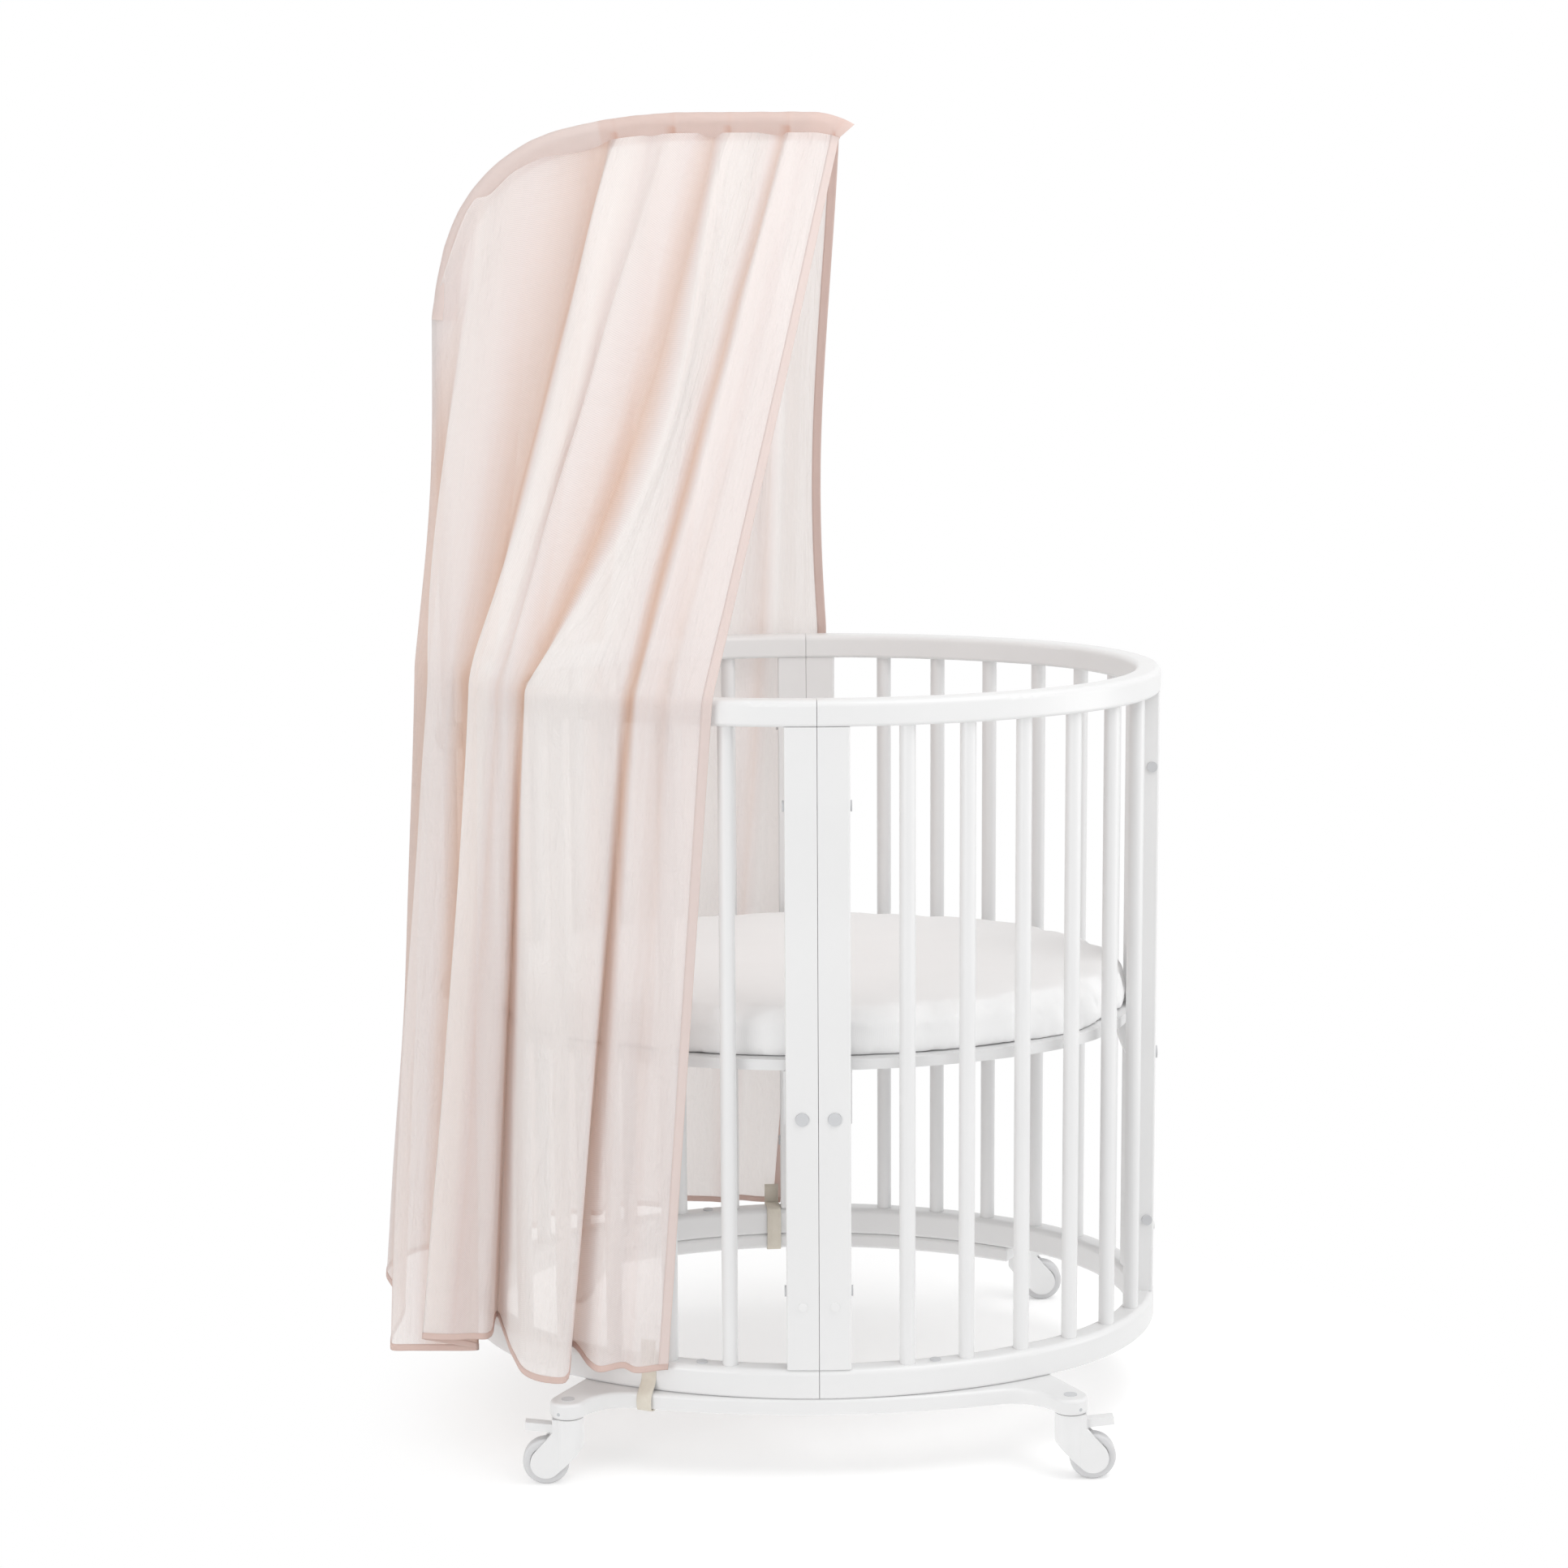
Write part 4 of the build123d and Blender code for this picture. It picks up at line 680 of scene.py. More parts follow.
def skirt_drops():
    """Shares of the way from rail to hem for the rows of the skirt, close together at both ends."""
    near = [0.004, 0.01, 0.018, 0.028]
    middle = [0.04 + 0.92 * step / 46 for step in range(47)]
    return near + middle + [0.97, 0.98, 0.987, 0.9905, 0.993, 0.9955, 0.998, 1.0]


def fold_column(fold, count, side):
    """Points down one fold line from rod to hem. It swings aside mostly in the lower half of the slope, and
    leaves the oval slowly at first below the rail."""
    late_swing = 1.35
    late_flare = 1.12
    rail_along, rail_out, hem_along, hem_out, hem_lift, relief, swing = fold[1:8]
    top = fold_top(fold, count, side)
    rail = oval_place(rail_along, rail_out, side) + UP * CLOTH_OVER_RAIL
    level = oval_normal(rail_along, side)
    slope = (top - rail).normalized()
    out = (level - slope * level.dot(slope)).normalized()
    points = []
    for row in range(TENT_ROWS):
        share = row / TENT_ROWS
        wave = math.sin(math.pi * share)
        bulge = relief * math.sqrt(wave) - SAG * wave
        aside = swing * math.sin(math.pi * share**late_swing)
        points.append(top.lerp(rail, share) + out * bulge + Vector((aside, 0, 0)))
    points.append(rail)
    for drop in skirt_drops():
        flare = drop**late_flare
        along = rail_along + (hem_along - rail_along) * drop
        away = rail_out + (hem_out - rail_out) * flare
        height = CLOTH_OVER_RAIL + (HEM_HEIGHT + hem_lift - CLOTH_OVER_RAIL) * drop
        points.append(oval_place(along, away, side) + UP * height)
    return points


def soften(columns, row, reach):
    """Round off the bend of each fold line where it passes over the rail."""
    for points in columns:
        for repeat in range(2):
            kept = [point.copy() for point in points]
            for place in range(row - reach, row + reach + 1):
                points[place] = kept[place] * 0.5 + (kept[place - 1] + kept[place + 1]) * 0.25


def canopy_grid():
    """Rows of points of the whole canopy, from the front free edge round the head end to the back one."""
    front = [fold_column(fold, count, -1) for count, fold in enumerate(FRONT_FOLDS)]
    back = [fold_column(fold, count, 1) for count, fold in enumerate(BACK_FOLDS)]
    columns = front[::-1] + back[1:]
    soften(columns, TENT_ROWS, 2)
    rows = []
    for row in range(len(columns[0])):
        line = smooth_line([points[row] for points in columns], FOLD_STEPS)
        if row >= TENT_ROWS:
            line = [push_outside(point, CLOTH_CLEARANCE) for point in line]
        rows.append(line)
    crumple(rows)
    return rows


def crumple(rows):
    """Small soft creases down the cloth, none at the rod and the free edges, and hardly any that go inwards
    below the rail, where the bars are."""
    crease_width = 50
    crease_length = 250
    crease_height = 2.2
    most_inwards = 1.0
    rows_below_rod = 12
    points_from_edge = 10
    columns = len(rows[0])
    for number, line in enumerate(rows):
        depth = min(number / rows_below_rod, 1)
        for place, point in enumerate(line):
            edge = min(place, columns - 1 - place) / points_from_edge
            spot = Vector((point.x / crease_width, point.y / crease_width, point.z / crease_length))
            push = noise.noise(spot) * crease_height * depth * min(edge, 1)
            if number > TENT_ROWS:
                push = max(push, -most_inwards)
            level = Vector((point.x, point.y, 0))
            away = level.normalized() if level.length > 1 else Vector((0, 1, 0))
            line[place] = point + away * push


def grid_normals(rows):
    """Outward direction at each point of the canopy's grid."""
    normals = []
    for row in range(len(rows)):
        line = []
        above, below = rows[max(row - 1, 0)], rows[min(row + 1, len(rows) - 1)]
        for place in range(len(rows[row])):
            left, right = rows[row][max(place - 1, 0)], rows[row][min(place + 1, len(rows[row]) - 1)]
            normal = (below[place] - above[place]).cross(right - left)
            line.append(-normal.normalized() if normal.length > 1e-9 else UP)
        normals.append(line)
    return normals


def grid_uvs(rows):
    """Place of each point on the flat cloth in metres: along the rail, and down from the rod."""
    wide = [0.0]
    for first, last in zip(rows[TENT_ROWS], rows[TENT_ROWS][1:]):
        wide.append(wide[-1] + (last - first).length)
    deep = [0.0]
    middle = len(rows[0]) // 2
    for above, below in zip(rows, rows[1:]):
        deep.append(deep[-1] + (below[middle] - above[middle]).length)
    return [(x * MM, -y * MM) for y in deep for x in wide]


def fold_shares_with_shade(rows):
    """Density of the cloth at each point, read across from the fold lines: partly the layers of closed folds
    and partly painted shade in the valleys and on flanks turned away from the light. The folds close up on
    the way down to the rail and open again below it, and at the head end they only form below the bend of the
    rod."""
    at_rod = 0.75
    more_at_rail = 0.5
    less_at_hem = 0.4
    head_lines = 3
    head_start = 0.25
    head_rows = 26
    lines = FRONT_FOLDS[::-1] + BACK_FOLDS[1:]
    head = len(FRONT_FOLDS) - 1
    shares = []
    for row in range(len(rows)):
        fallen = max(row - TENT_ROWS, 0) / (len(rows) - TENT_ROWS)
        closed = at_rod + more_at_rail * min(row / TENT_ROWS, 1) - less_at_hem * fallen
        formed = min(head_start + row / head_rows, 1)
        density_and_shade = []
        for count, fold in enumerate(lines):
            density_and_shade.append(fold[8] * (formed if abs(count - head) < head_lines else closed))
        for first, last in zip(density_and_shade, density_and_shade[1:]):
            shares += [first + (last - first) * step / FOLD_STEPS for step in range(FOLD_STEPS)]
        shares.append(density_and_shade[-1])
    return shares


def set_density_and_shade(piece, shares):
    """Keep the density of a cloth piece at each of its points, painted shade included, for its material."""
    layer = piece.data.attributes.new("fold_density_and_shade", "FLOAT", "POINT")
    layer.data.foreach_set("value", [share / MOST_DENSITY_AND_SHADE for share in shares])


def down_lines(grid, places):
    """Lines down a grid of rows, one at each of some places across it."""
    return [[row[place] for row in grid] for place in places]


def hem_band(name, lines, normals, uvs, thickness):
    """A hem turned over a cloth edge: out over the face, round the edge, and back behind it."""
    count = len(lines[0])
    outer = [[p + n * thickness for p, n in zip(line, way)] for line, way in zip(lines, normals)]
    inner = [[p - n * thickness for p, n in zip(line, way)] for line, way in zip(lines, normals)]
    around = outer + inner[::-1]
    verts = [point for line in around for point in line]
    spots = [spot for line in uvs + uvs[::-1] for spot in line]
    faces = grid_faces(len(around), count)
    last = len(around) - 1
    for place in range(count - 1):
        faces.append((last * count + place, last * count + place + 1, place + 1, place))
    faces.append(tuple(row * count for row in range(len(around))))
    faces.append(tuple(row * count + count - 1 for row in reversed(range(len(around)))))
    return mesh_piece(name, verts, faces, spots)


def channel_ring(length):
    """Points round the sewn channel at one place along the rod, from its seam over the rod and back. It
    flares at its lower end, steps at each tuck, and goes limp and slants past the rod's tip."""
    open_angle = 0.03
    ripple_height = 0.5
    flare = 3.0
    flare_length = 90
    rod, heading = channel_line(length)
    inward = Vector((math.sin(heading), 0, -math.cos(heading)))
    tail = seam_depth(length) - 1
    limp = share_of(length, ROD_TIP, 30)
    pleat = (length - FIRST_TUCK) / TUCK_SPACING
    step = TUCK_STEP * (pleat - math.floor(pleat)) if length > FIRST_TUCK else 0
    slant = TIP_SLANT * share_of(length, TIP_START, TIP_LENGTH)
    forward = Vector((math.cos(heading), 0, math.sin(heading)))
    ring = []
    for point in range(CHANNEL_POINTS + 1):
        angle = open_angle + (math.tau - 2 * open_angle) * point / CHANNEL_POINTS
        ripple = noise.noise(Vector((length * 0.06, math.cos(angle) * 1.2, math.sin(angle) * 1.2)))
        wider = flare * max(1 - (length - CHANNEL_START) / flare_length, 0)
        radius = CHANNEL_RADIUS + ripple_height * ripple + wider
        low = max(math.cos(angle) - 0.6, 0) / 0.4
        drop = radius * math.cos(angle) + tail * low
        wide = (radius + step) * math.sin(angle) * (1 - 0.55 * low) * (1 - 0.6 * limp)
        under = (1 + math.cos(angle)) / 2
        ring.append(rod + inward * drop + Vector((0, wide, 0)) - forward * slant * under)
    return ring


def channel_density_and_shade(length, place):
    """Density of the channel, with painted shade: low on the bend, more on the level run, and most just
    before each tuck, close to the seam, where it paints the shade in the tuck's crease.
    """
    bend_end = 370
    on_bend = 0.15
    on_run = 0.4
    if length < bend_end:
        return on_bend
    pleat = (length - FIRST_TUCK) / TUCK_SPACING
    before = (math.ceil(pleat) - pleat) * TUCK_SPACING
    by_seam = abs(place - CHANNEL_POINTS / 2) > 10
    extra, reach = (0.65, 12) if by_seam else (0.12, 7)
    return on_run + extra * max(1 - before / reach, 0)


# Mattress

def mattress_place(share, inset, height):
    """Point of the mattress outline, by its share of the way round."""
    turn = 4 * share
    quarter = int(turn) % 4
    part = turn - int(turn)
    along = QUARTER * part if quarter % 2 == 0 else QUARTER * (1 - part)
    spot = oval_place(along, -inset, 1)
    x = spot.x if quarter in (0, 3) else -spot.x
    y = spot.y if quarter in (0, 1) else -spot.y
    return Vector((x, y, height))


def fill_cover(piece, settings, lowest, highest):
    """Swell the cover with a short cloth simulation, then hold it to the space above the base."""
    bpy.ops.object.select_all(action="DESELECT")
    bpy.context.view_layer.objects.active = piece
    piece.select_set(True)
    remesh = piece.modifiers.new("Remesh", "REMESH")
    remesh.mode = "VOXEL"
    remesh.voxel_size = settings.voxel
    bpy.ops.object.modifier_apply(modifier=remesh.name)
    before = [vertex.co.copy() for vertex in piece.data.vertices]
    cloth = piece.modifiers.new("Cloth", "CLOTH")
    cloth.settings.use_pressure = True
    cloth.settings.uniform_pressure_force = settings.pressure
    cloth.settings.effector_weights.gravity = 0
    cloth.settings.quality = 4
    cloth.settings.shrink_min = -0.04
    cloth.point_cache.frame_start = 1
    cloth.point_cache.frame_end = FILL_FRAMES
    for number in range(1, FILL_FRAMES + 1):
        bpy.context.scene.frame_set(number)
    bpy.ops.object.modifier_apply(modifier=cloth.name)
    bpy.context.scene.frame_set(1)
    for vertex, start in zip(piece.data.vertices, before):
        move = vertex.co - start
        if move.length > MOST_SWELL:
            move *= MOST_SWELL / move.length
        spot = start + move
        spot.z = min(max(spot.z, lowest), highest)
        above = (spot.z - lowest) / SEATED
        if above < 1:
            spot.z = lowest + SEATED * above**2
        vertex.co = spot
    smooth = piece.modifiers.new("Subdivision", "SUBSURF")
    smooth.levels = 1
    smooth.render_levels = 1
    bpy.ops.object.modifier_apply(modifier=smooth.name)
    for polygon in piece.data.polygons:
        polygon.use_smooth = True


# Tie straps

def strap(name, along, side, foot_out):
    """Tape looped round rail and foot bar, its tail standing up behind the hem."""
    inside = -RAIL_DEPTH - 1.0
    outside = 1.0
    loop = [
        (outside, BOTTOM_RAIL_TOP + 25), (outside, BOTTOM_RAIL_TOP), (outside + 0.2, BOTTOM_RAIL_BOTTOM + 12),
        (foot_out + 0.6, BOTTOM_RAIL_BOTTOM - 3), (foot_out + 0.6, FOOT_BOTTOM + 1),
        (foot_out - 3, FOOT_BOTTOM - 1.0), (inside + 3, FOOT_BOTTOM - 1.0),
        (inside, FOOT_BOTTOM + 1), (inside, BOTTOM_RAIL_TOP - 1),
        (inside + 3, BOTTOM_RAIL_TOP + 1.0), (outside - 3.5, BOTTOM_RAIL_TOP + 1.0),
    ]
    line = smooth_line([Vector((out, 0, height)) for out, height in loop], 6)
    centre = oval_place(along, 0, side)
    level = oval_normal(along, side)
    across = UP.cross(level)
    verts = []
    uvs = []
    run = 0.0
    for place, spot in enumerate(line):
        ahead = line[min(place + 1, len(line) - 1)] - line[max(place - 1, 0)]
        way = Vector((-ahead.z, 0, ahead.x)).normalized()
        if place:
            run += (spot - line[place - 1]).length
        for half, deep in TAPE_SECTION:
            spot_out = spot + way * (deep * TAPE_THICKNESS)
            verts.append(centre + level * spot_out.x + UP * spot_out.z + across * (half * TAPE_WIDTH / 2))
            uvs.append((half * TAPE_WIDTH / 2 * MM, run * MM))
    around = len(TAPE_SECTION)
    faces = grid_faces(len(line), around, True)
    faces.append(tuple(range(around)))
    faces.append(tuple((len(line) - 1) * around + place for place in reversed(range(around))))
    piece = mesh_piece(name, verts, faces, uvs)
    tidy_normals(piece)
    return piece


# Stage

def shown_rays(tree):
    """1 for the rays that show the backdrop as it is: from the camera, off gloss and through cloth."""
    path = add_node(tree, "ShaderNodeLightPath")
    first = add_node(
        tree, "ShaderNodeMath", {"operation": "MAXIMUM"},
        {0: path.outputs["Is Camera Ray"], 1: path.outputs["Is Glossy Ray"]},
    )
    shown = add_node(
        tree, "ShaderNodeMath", {"operation": "MAXIMUM"},
        {0: first.outputs[0], 1: path.outputs["Is Transmission Ray"]},
    )
    return shown.outputs[0]


def set_camera(context):
    """The camera at the picture's viewpoint, as it was fitted to the crib's own edges."""
    place = Vector((-0.0751, -3.8638, 1.3464))
    yaw, pitch, roll = 0.01112, 0.15596, -0.00562
    level_share = math.cos(pitch)
    forward = Vector((math.sin(yaw) * level_share, math.cos(yaw) * level_share, -math.sin(pitch)))
    level = Vector((math.cos(yaw), -math.sin(yaw), 0))
    upright = level.cross(forward)
    right = level * math.cos(roll) + upright * math.sin(roll)
    up = upright * math.cos(roll) - level * math.sin(roll)
    camera = bpy.data.cameras.new("camera")
    camera.sensor_width = 36.0
    picture_width = 1932.0
    focal_length = 4066.75
    camera.lens = camera.sensor_width * focal_length / picture_width
    camera.clip_end = 60.0
    holder = bpy.data.objects.new("camera", camera)
    turn = Matrix((right, up, -forward)).transposed()
    holder.matrix_world = Matrix.Translation(place) @ turn.to_4x4()
    context.scene.collection.objects.link(holder)
    context.scene.camera = holder


# Settings

class CribFinishes(bpy.types.PropertyGroup):
    """Colours and grain of the rigid parts."""

    lacquer: bpy.props.FloatVectorProperty(
        name="Lacquer", description="Darker tone of the white lacquer", default=linear("E5E5E5"), size=4,
        subtype="COLOR",
    )
    lacquer_light: bpy.props.FloatVectorProperty(
        name="Light lacquer", description="Lighter tone of the white lacquer", default=linear("EBEBEB"),
        size=4, subtype="COLOR",
    )
    tooth: bpy.props.FloatProperty(
        name="Plastic tooth", description="Size of the moulded plastic's surface tooth", default=0.0011,
        unit="LENGTH",
    )


class CribCanopy(bpy.types.PropertyGroup):
    """Cloth of the canopy."""

    open_colour: bpy.props.FloatVectorProperty(
        name="Open cloth", description="Colour of a single layer of voile", default=linear("FBF8F6"), size=4,
        subtype="COLOR",
    )
    # Colour of a closed fold, also the colour of the painted shade in the folds' valleys and shaded flanks
    fold_and_shade_colour: bpy.props.FloatVectorProperty(
        name="Folded cloth", description="Colour of the voile in a closed fold", default=linear("E2C3B0"),
        size=4, subtype="COLOR",
    )
    thread: bpy.props.FloatProperty(
        name="Thread spacing",
        description="Spacing of the voile's threads, drawn coarser than real so that it shows",
        default=0.0016, unit="LENGTH",
    )
    glow: bpy.props.FloatProperty(
        name="Glow", description="Share of light that the cloth lets through softly", default=0.3,
        subtype="FACTOR",
    )
    sheer: bpy.props.FloatProperty(
        name="Sheerness", description="Share of the cloth that is open between threads", default=0.18,
        subtype="FACTOR",
    )
    hem: bpy.props.FloatProperty(
        name="Hem thickness", description="Half thickness of the folded hem", default=0.0007, unit="LENGTH"
    )


class CribMattress(bpy.types.PropertyGroup):
    """Cover and padding of the mattress."""

    cover: bpy.props.FloatVectorProperty(
        name="Cover", description="Darker tone of the white cover", default=linear("F6F6F6"), size=4,
        subtype="COLOR",
    )
    cover_light: bpy.props.FloatVectorProperty(
        name="Light cover", description="Lighter tone of the white cover", default=linear("FBFBFB"), size=4,
        subtype="COLOR",
    )
    pressure: bpy.props.FloatProperty(
        name="Filling pressure", description="How hard the filling pushes the cover out", default=3.0
    )
    voxel: bpy.props.FloatProperty(
        name="Cover detail", description="Size of the cover's mesh", default=0.007, unit="LENGTH"
    )


class CribStage(bpy.types.PropertyGroup):
    """Light and floor."""

    key: bpy.props.FloatProperty(
        name="Key light", description="Power of the softbox over the foot end", default=18.5, unit="POWER"
    )
    fill: bpy.props.FloatProperty(
        name="Fill light", description="Power of the softbox before the head end", default=46.5, unit="POWER"
    )
    side: bpy.props.FloatProperty(
        name="Side light", description="Power of the softbox past the foot end", default=13.0, unit="POWER"
    )
    bounce: bpy.props.FloatProperty(
        name="Floor light", description="Power of the light off the floor", default=0.55, unit="POWER"
    )
    sky: bpy.props.FloatProperty(
        name="Room light", description="Strength of the even light from all sides", default=0.77
    )
    floor_glow: bpy.props.FloatProperty(
        name="Floor glow", description="How much the floor's shadow is lifted towards white", default=0.29
    )


# Operators, one for each group of pieces and one for the stage

class CRIB_OT_finishes(bpy.types.Operator):
    """Give every rigid part of the crib its finish"""

    bl_idname = "crib.finishes"
    bl_label = "Frame Finishes"

    def execute(self, context):
        settings = context.scene.crib_finishes
        tooth = settings.tooth
        finishes = {
            "white_lacquer": lacquered_beech(settings),
            "bare_beech": bare_beech(),
            "white_board": melamine_board(),
            "grey_bolt": moulded_plastic("grey_painted_steel", "C6C7C9", "CFD0D2", 0.42, tooth),
            "steel": zinc_steel(),
            "white_plastic": moulded_plastic("white_moulded_nylon", "E8E8E8", "EEEEEE", 0.42, tooth),
            "grey_plastic": moulded_plastic("grey_moulded_nylon", "C9CACC", "D2D3D5", 0.45, tooth),
            "wheel_plastic": moulded_plastic("pale_grey_rubber_tread", "D4D4D5", "DCDCDD", 0.6, tooth),
            "white_tube": moulded_plastic("white_powder_coat", "EEEEEE", "F3F3F3", 0.4, tooth),
        }
        for row in frame["record"]["subparts"]:
            if row["material_slot"] in finishes:
                node = frame["nodes"][row["node"]]
                node.data.materials.clear()
                node.data.materials.append(finishes[row["material_slot"]])
        return {"FINISHED"}


class CRIB_OT_canopy(bpy.types.Operator):
    """Hang the canopy cloth with its folds, hems and sewn channel"""

    bl_idname = "crib.canopy"
    bl_label = "Canopy"

    def execute(self, context):
        settings = context.scene.crib_canopy
        voile = cotton_voile(settings)
        hemmed = hemmed_voile(settings)
        rows = canopy_grid()
        count = len(rows[0])
        uvs = grid_uvs(rows)
        verts = [point for row in rows for point in row]
        sheet = mesh_piece("canopy_cloth", verts, grid_faces(len(rows), count), uvs)
        paint(sheet, voile)
        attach(sheet, CRIB)
        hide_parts("canopy_front_panel", "canopy_back_panel")
        # Density of the cloth with painted shade in its valleys and on flanks turned from the light, for its
        # colour
        set_density_and_shade(sheet, fold_shares_with_shade(rows))
        spots = [uvs[row * count:(row + 1) * count] for row in range(len(rows))]
        grids = (rows, grid_normals(rows), spots)
        front_places = range(FOLD_STEPS, -1, -1)
        back_places = range(count - 1 - FOLD_STEPS, count)
        # The hems' densities carry painted shade: most on the bottom hem and the back edge's hem, which lie
        # in shade
        for name, edge, density_and_shade in (
            ("canopy_bottom_hem", [grid[-HEM_ROWS:] for grid in grids], 0.5),
            ("canopy_front_edge_hem", [down_lines(grid, front_places) for grid in grids], 0.1),
            ("canopy_back_edge_hem", [down_lines(grid, back_places) for grid in grids], 0.36),
        ):
            band = hem_band(name, *edge, settings.hem / MM)
            tidy_normals(band)
            set_density_and_shade(band, [density_and_shade] * len(band.data.vertices))
            paint(band, hemmed)
            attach(band, CRIB)
        lengths = [CHANNEL_START + CHANNEL_SPACING * step for step in range(CHANNEL_RINGS)]
        rings = [channel_ring(length) for length in lengths]
        verts = [point for ring in rings for point in ring]
        around = len(rings[0])
        point_spacing = 2.6
        flat = [(place * point_spacing * MM, -length * MM) for length in lengths for place in range(around)]
        sleeve = mesh_piece("canopy_rod_channel", verts, grid_faces(len(rings), around), flat)
        # The channel's density paints shade into the creases before its tucks
        shares = [channel_density_and_shade(length, place) for length in lengths for place in range(around)]
        set_density_and_shade(sleeve, shares)
        paint(sleeve, hemmed)
        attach(sleeve, CRIB)
        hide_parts("canopy_sleeve")
        return {"FINISHED"}


class CRIB_OT_mattress(bpy.types.Operator):
    """Fill the mattress and cover it"""

    bl_idname = "crib.mattress"
    bl_label = "Mattress"

    def execute(self, context):
        low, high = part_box("mattress")
        settings = context.scene.crib_mattress
        across = MATTRESS_POINTS
        inset = HALF_LENGTH - high.x / MM
        bottom = low.z / MM
        top = bottom + MATTRESS_SIDE
        rings = [(bottom + share * MATTRESS_SIDE, extra) for share, extra in SIDE_INSETS]
        rings += [(top + lift, extra) for lift, extra in CROWN_RINGS]
        verts = []
        for height, extra in rings:
            verts += [mattress_place(place / across, inset + extra, height) for place in range(across)]
        count = len(rings)
        faces = [tuple(reversed(face)) for face in grid_faces(count, across, True)]
        faces.append(tuple(range(across)))
        faces.append(tuple((count - 1) * across + place for place in reversed(range(across))))
        piece = mesh_piece("mattress_cover", verts, faces)
        tidy_normals(piece)
        fill_cover(piece, settings, low.z, high.z)
        paint(piece, mattress_cotton(settings))
        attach(piece, "mattress")
        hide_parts("mattress")
        return {"FINISHED"}


class CRIB_OT_straps(bpy.types.Operator):
    """Tie the canopy's corners to the bottom rail with tape straps"""

    bl_idname = "crib.straps"
    bl_label = "Tie Straps"

    def execute(self, context):
        tape = cotton_tape()
        for name, node, rail, along, side, out in (
            ("tie_strap_tape_front", "tie_strap_front", "bottom_rail_front_left", 196.0, -1, 13.4),
            ("tie_strap_tape_back", "tie_strap_back", "bottom_rail_back_left", 48.0, 1, 1.4),
        ):
            piece = strap(name, QUARTER - along, side, out)
            paint(piece, tape)
            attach(piece, CRIB)
            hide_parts(node)
        return {"FINISHED"}


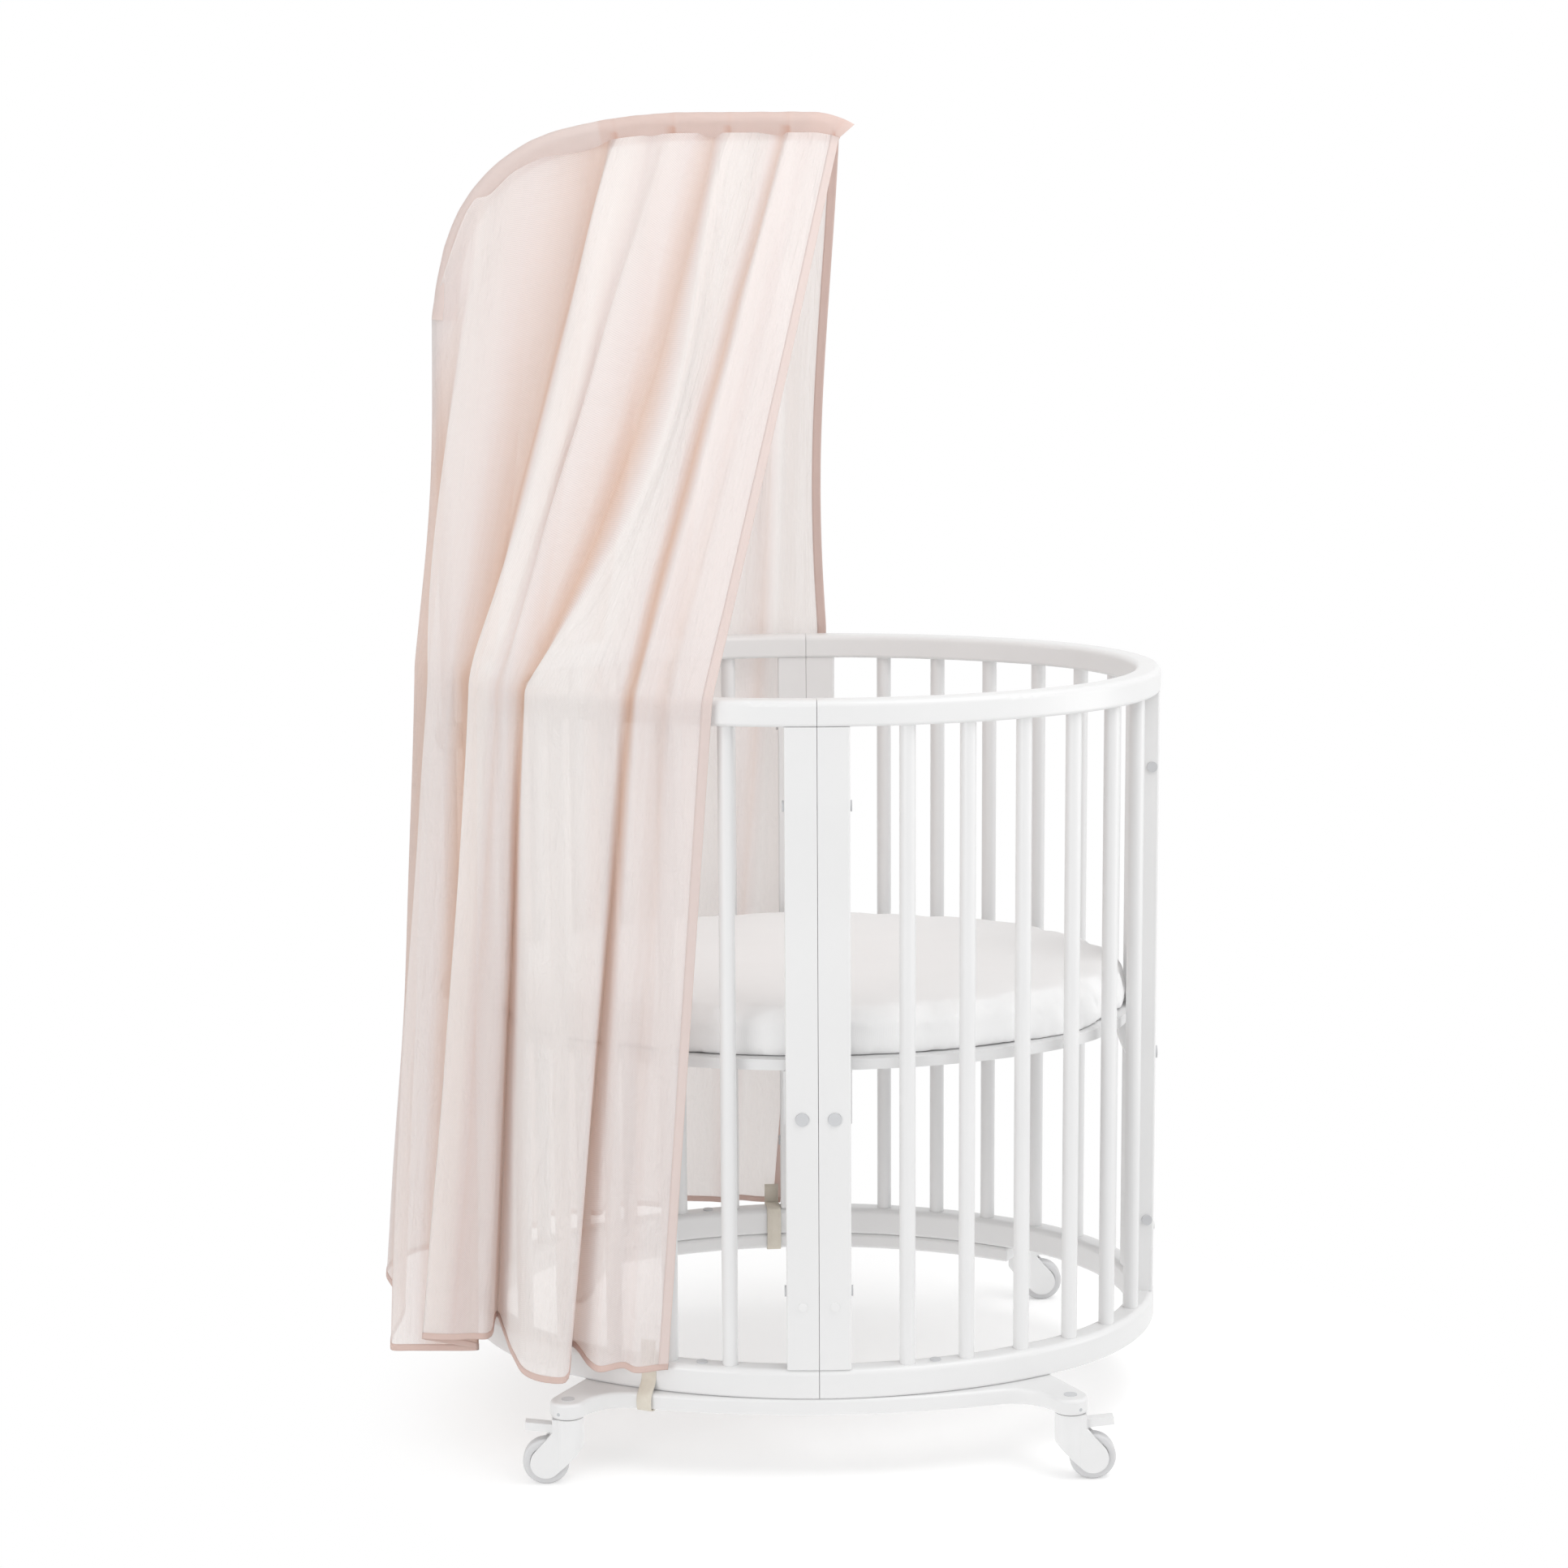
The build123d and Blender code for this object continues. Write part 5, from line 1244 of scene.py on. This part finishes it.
class CRIB_OT_stage(bpy.types.Operator):
    """Set the floor, the light and the camera"""

    bl_idname = "crib.stage"
    bl_label = "Stage"

    def execute(self, context):
        settings = context.scene.crib_stage
        bpy.ops.object.select_all(action="DESELECT")
        bpy.ops.mesh.primitive_plane_add(size=40, location=(0, 0, 0))
        floor = context.object
        floor.name = "floor"
        material, tree = new_material("white_studio_floor")
        seen = shown_rays(tree)
        paper = add_node(tree, "ShaderNodeBsdfDiffuse", {"Color": linear("EEEEEE")})
        near = add_node(tree, "ShaderNodeMath", {"operation": "MULTIPLY", 1: settings.floor_glow}, {0: seen})
        glow = add_node(
            tree, "ShaderNodeEmission", {"Color": linear("FFFFFF")}, {"Strength": near.outputs[0]}
        )
        lit = add_node(tree, "ShaderNodeAddShader", links={0: paper.outputs[0], 1: glow.outputs[0]})
        white = add_node(tree, "ShaderNodeEmission", {"Color": linear("FFFFFF")}, {"Strength": seen})
        place = add_node(tree, "ShaderNodeTexCoord").outputs["Object"]
        away = add_node(
            tree, "ShaderNodeVectorMath", {"operation": "DISTANCE", 1: SHADOW_MIDDLE}, {0: place}
        )
        far = add_node(
            tree, "ShaderNodeMapRange",
            {"interpolation_type": "SMOOTHSTEP", "From Min": SHADOW_FADE[0], "From Max": SHADOW_FADE[1]},
            {"Value": away.outputs["Value"]},
        )
        fade = add_node(tree, "ShaderNodeMath", {"operation": "MULTIPLY"}, {0: far.outputs[0], 1: seen})
        both = add_node(
            tree, "ShaderNodeMixShader", links={0: fade.outputs[0], 1: lit.outputs[0], 2: white.outputs[0]}
        )
        finish_material(tree, both.outputs[0])
        floor.data.materials.append(material)
        world = bpy.data.worlds.new("studio")
        context.scene.world = world
        world.use_nodes = True
        world.node_tree.nodes.clear()
        tree = world.node_tree
        strength = add_node(
            tree, "ShaderNodeMapRange", {"To Min": settings.sky, "To Max": 1.0}, {"Value": shown_rays(tree)}
        )
        sky = add_node(
            tree, "ShaderNodeBackground", {"Color": linear("FFFFFF")}, {"Strength": strength.outputs[0]}
        )
        add_node(tree, "ShaderNodeOutputWorld", links={"Surface": sky.outputs[0]})
        for name, place, aim, size, power in (
            ("key_softbox", (1.1, -0.9, 2.7), (0, 0, 0.7), 1.8, settings.key),
            ("fill_softbox", (-2.7, -3.8, 0.7), (-0.1, 0, 0.55), 2.4, settings.fill),
            ("side_softbox", (3.0, -0.5, 0.6), (0.2, 0, 0.5), 1.6, settings.side),
            ("floor_softbox", (0.02, 0, 0.003), (0.02, 0, 1), 0.8, settings.bounce),
        ):
            lamp = bpy.data.lights.new(name, "AREA")
            lamp.shape = "DISK"
            lamp.size = size
            lamp.energy = power
            holder = bpy.data.objects.new(name, lamp)
            holder.location = place
            holder.visible_camera = False
            holder.rotation_euler = (Vector(aim) - Vector(place)).to_track_quat("-Z", "Y").to_euler()
            context.scene.collection.objects.link(holder)
        set_camera(context)
        context.scene.view_settings.view_transform = "Standard"
        return {"FINISHED"}


class CRIB_PT_panel(bpy.types.Panel):
    """Lists the crib's pieces"""

    bl_label = "Oval Crib"
    bl_idname = "CRIB_PT_panel"
    bl_space_type = "VIEW_3D"
    bl_region_type = "UI"
    bl_category = "Crib"

    def draw(self, context):
        for operator in OPERATORS:
            self.layout.operator(operator.bl_idname)


GROUPS = {
    "crib_finishes": CribFinishes,
    "crib_canopy": CribCanopy,
    "crib_mattress": CribMattress,
    "crib_stage": CribStage,
}
OPERATORS = (CRIB_OT_stage, CRIB_OT_finishes, CRIB_OT_canopy, CRIB_OT_mattress, CRIB_OT_straps)


def register():
    for name, group in GROUPS.items():
        bpy.utils.register_class(group)
        setattr(bpy.types.Scene, name, bpy.props.PointerProperty(type=group))
    for operator in OPERATORS:
        bpy.utils.register_class(operator)
    bpy.utils.register_class(CRIB_PT_panel)


def unregister():
    bpy.utils.unregister_class(CRIB_PT_panel)
    for operator in reversed(OPERATORS):
        bpy.utils.unregister_class(operator)
    for name, group in GROUPS.items():
        delattr(bpy.types.Scene, name)
        bpy.utils.unregister_class(group)


def main():
    register()
    bpy.ops.crib.stage()
    bpy.ops.crib.finishes()
    bpy.ops.crib.canopy()
    bpy.ops.crib.mattress()
    bpy.ops.crib.straps()


if __name__ == "__main__":
    main()
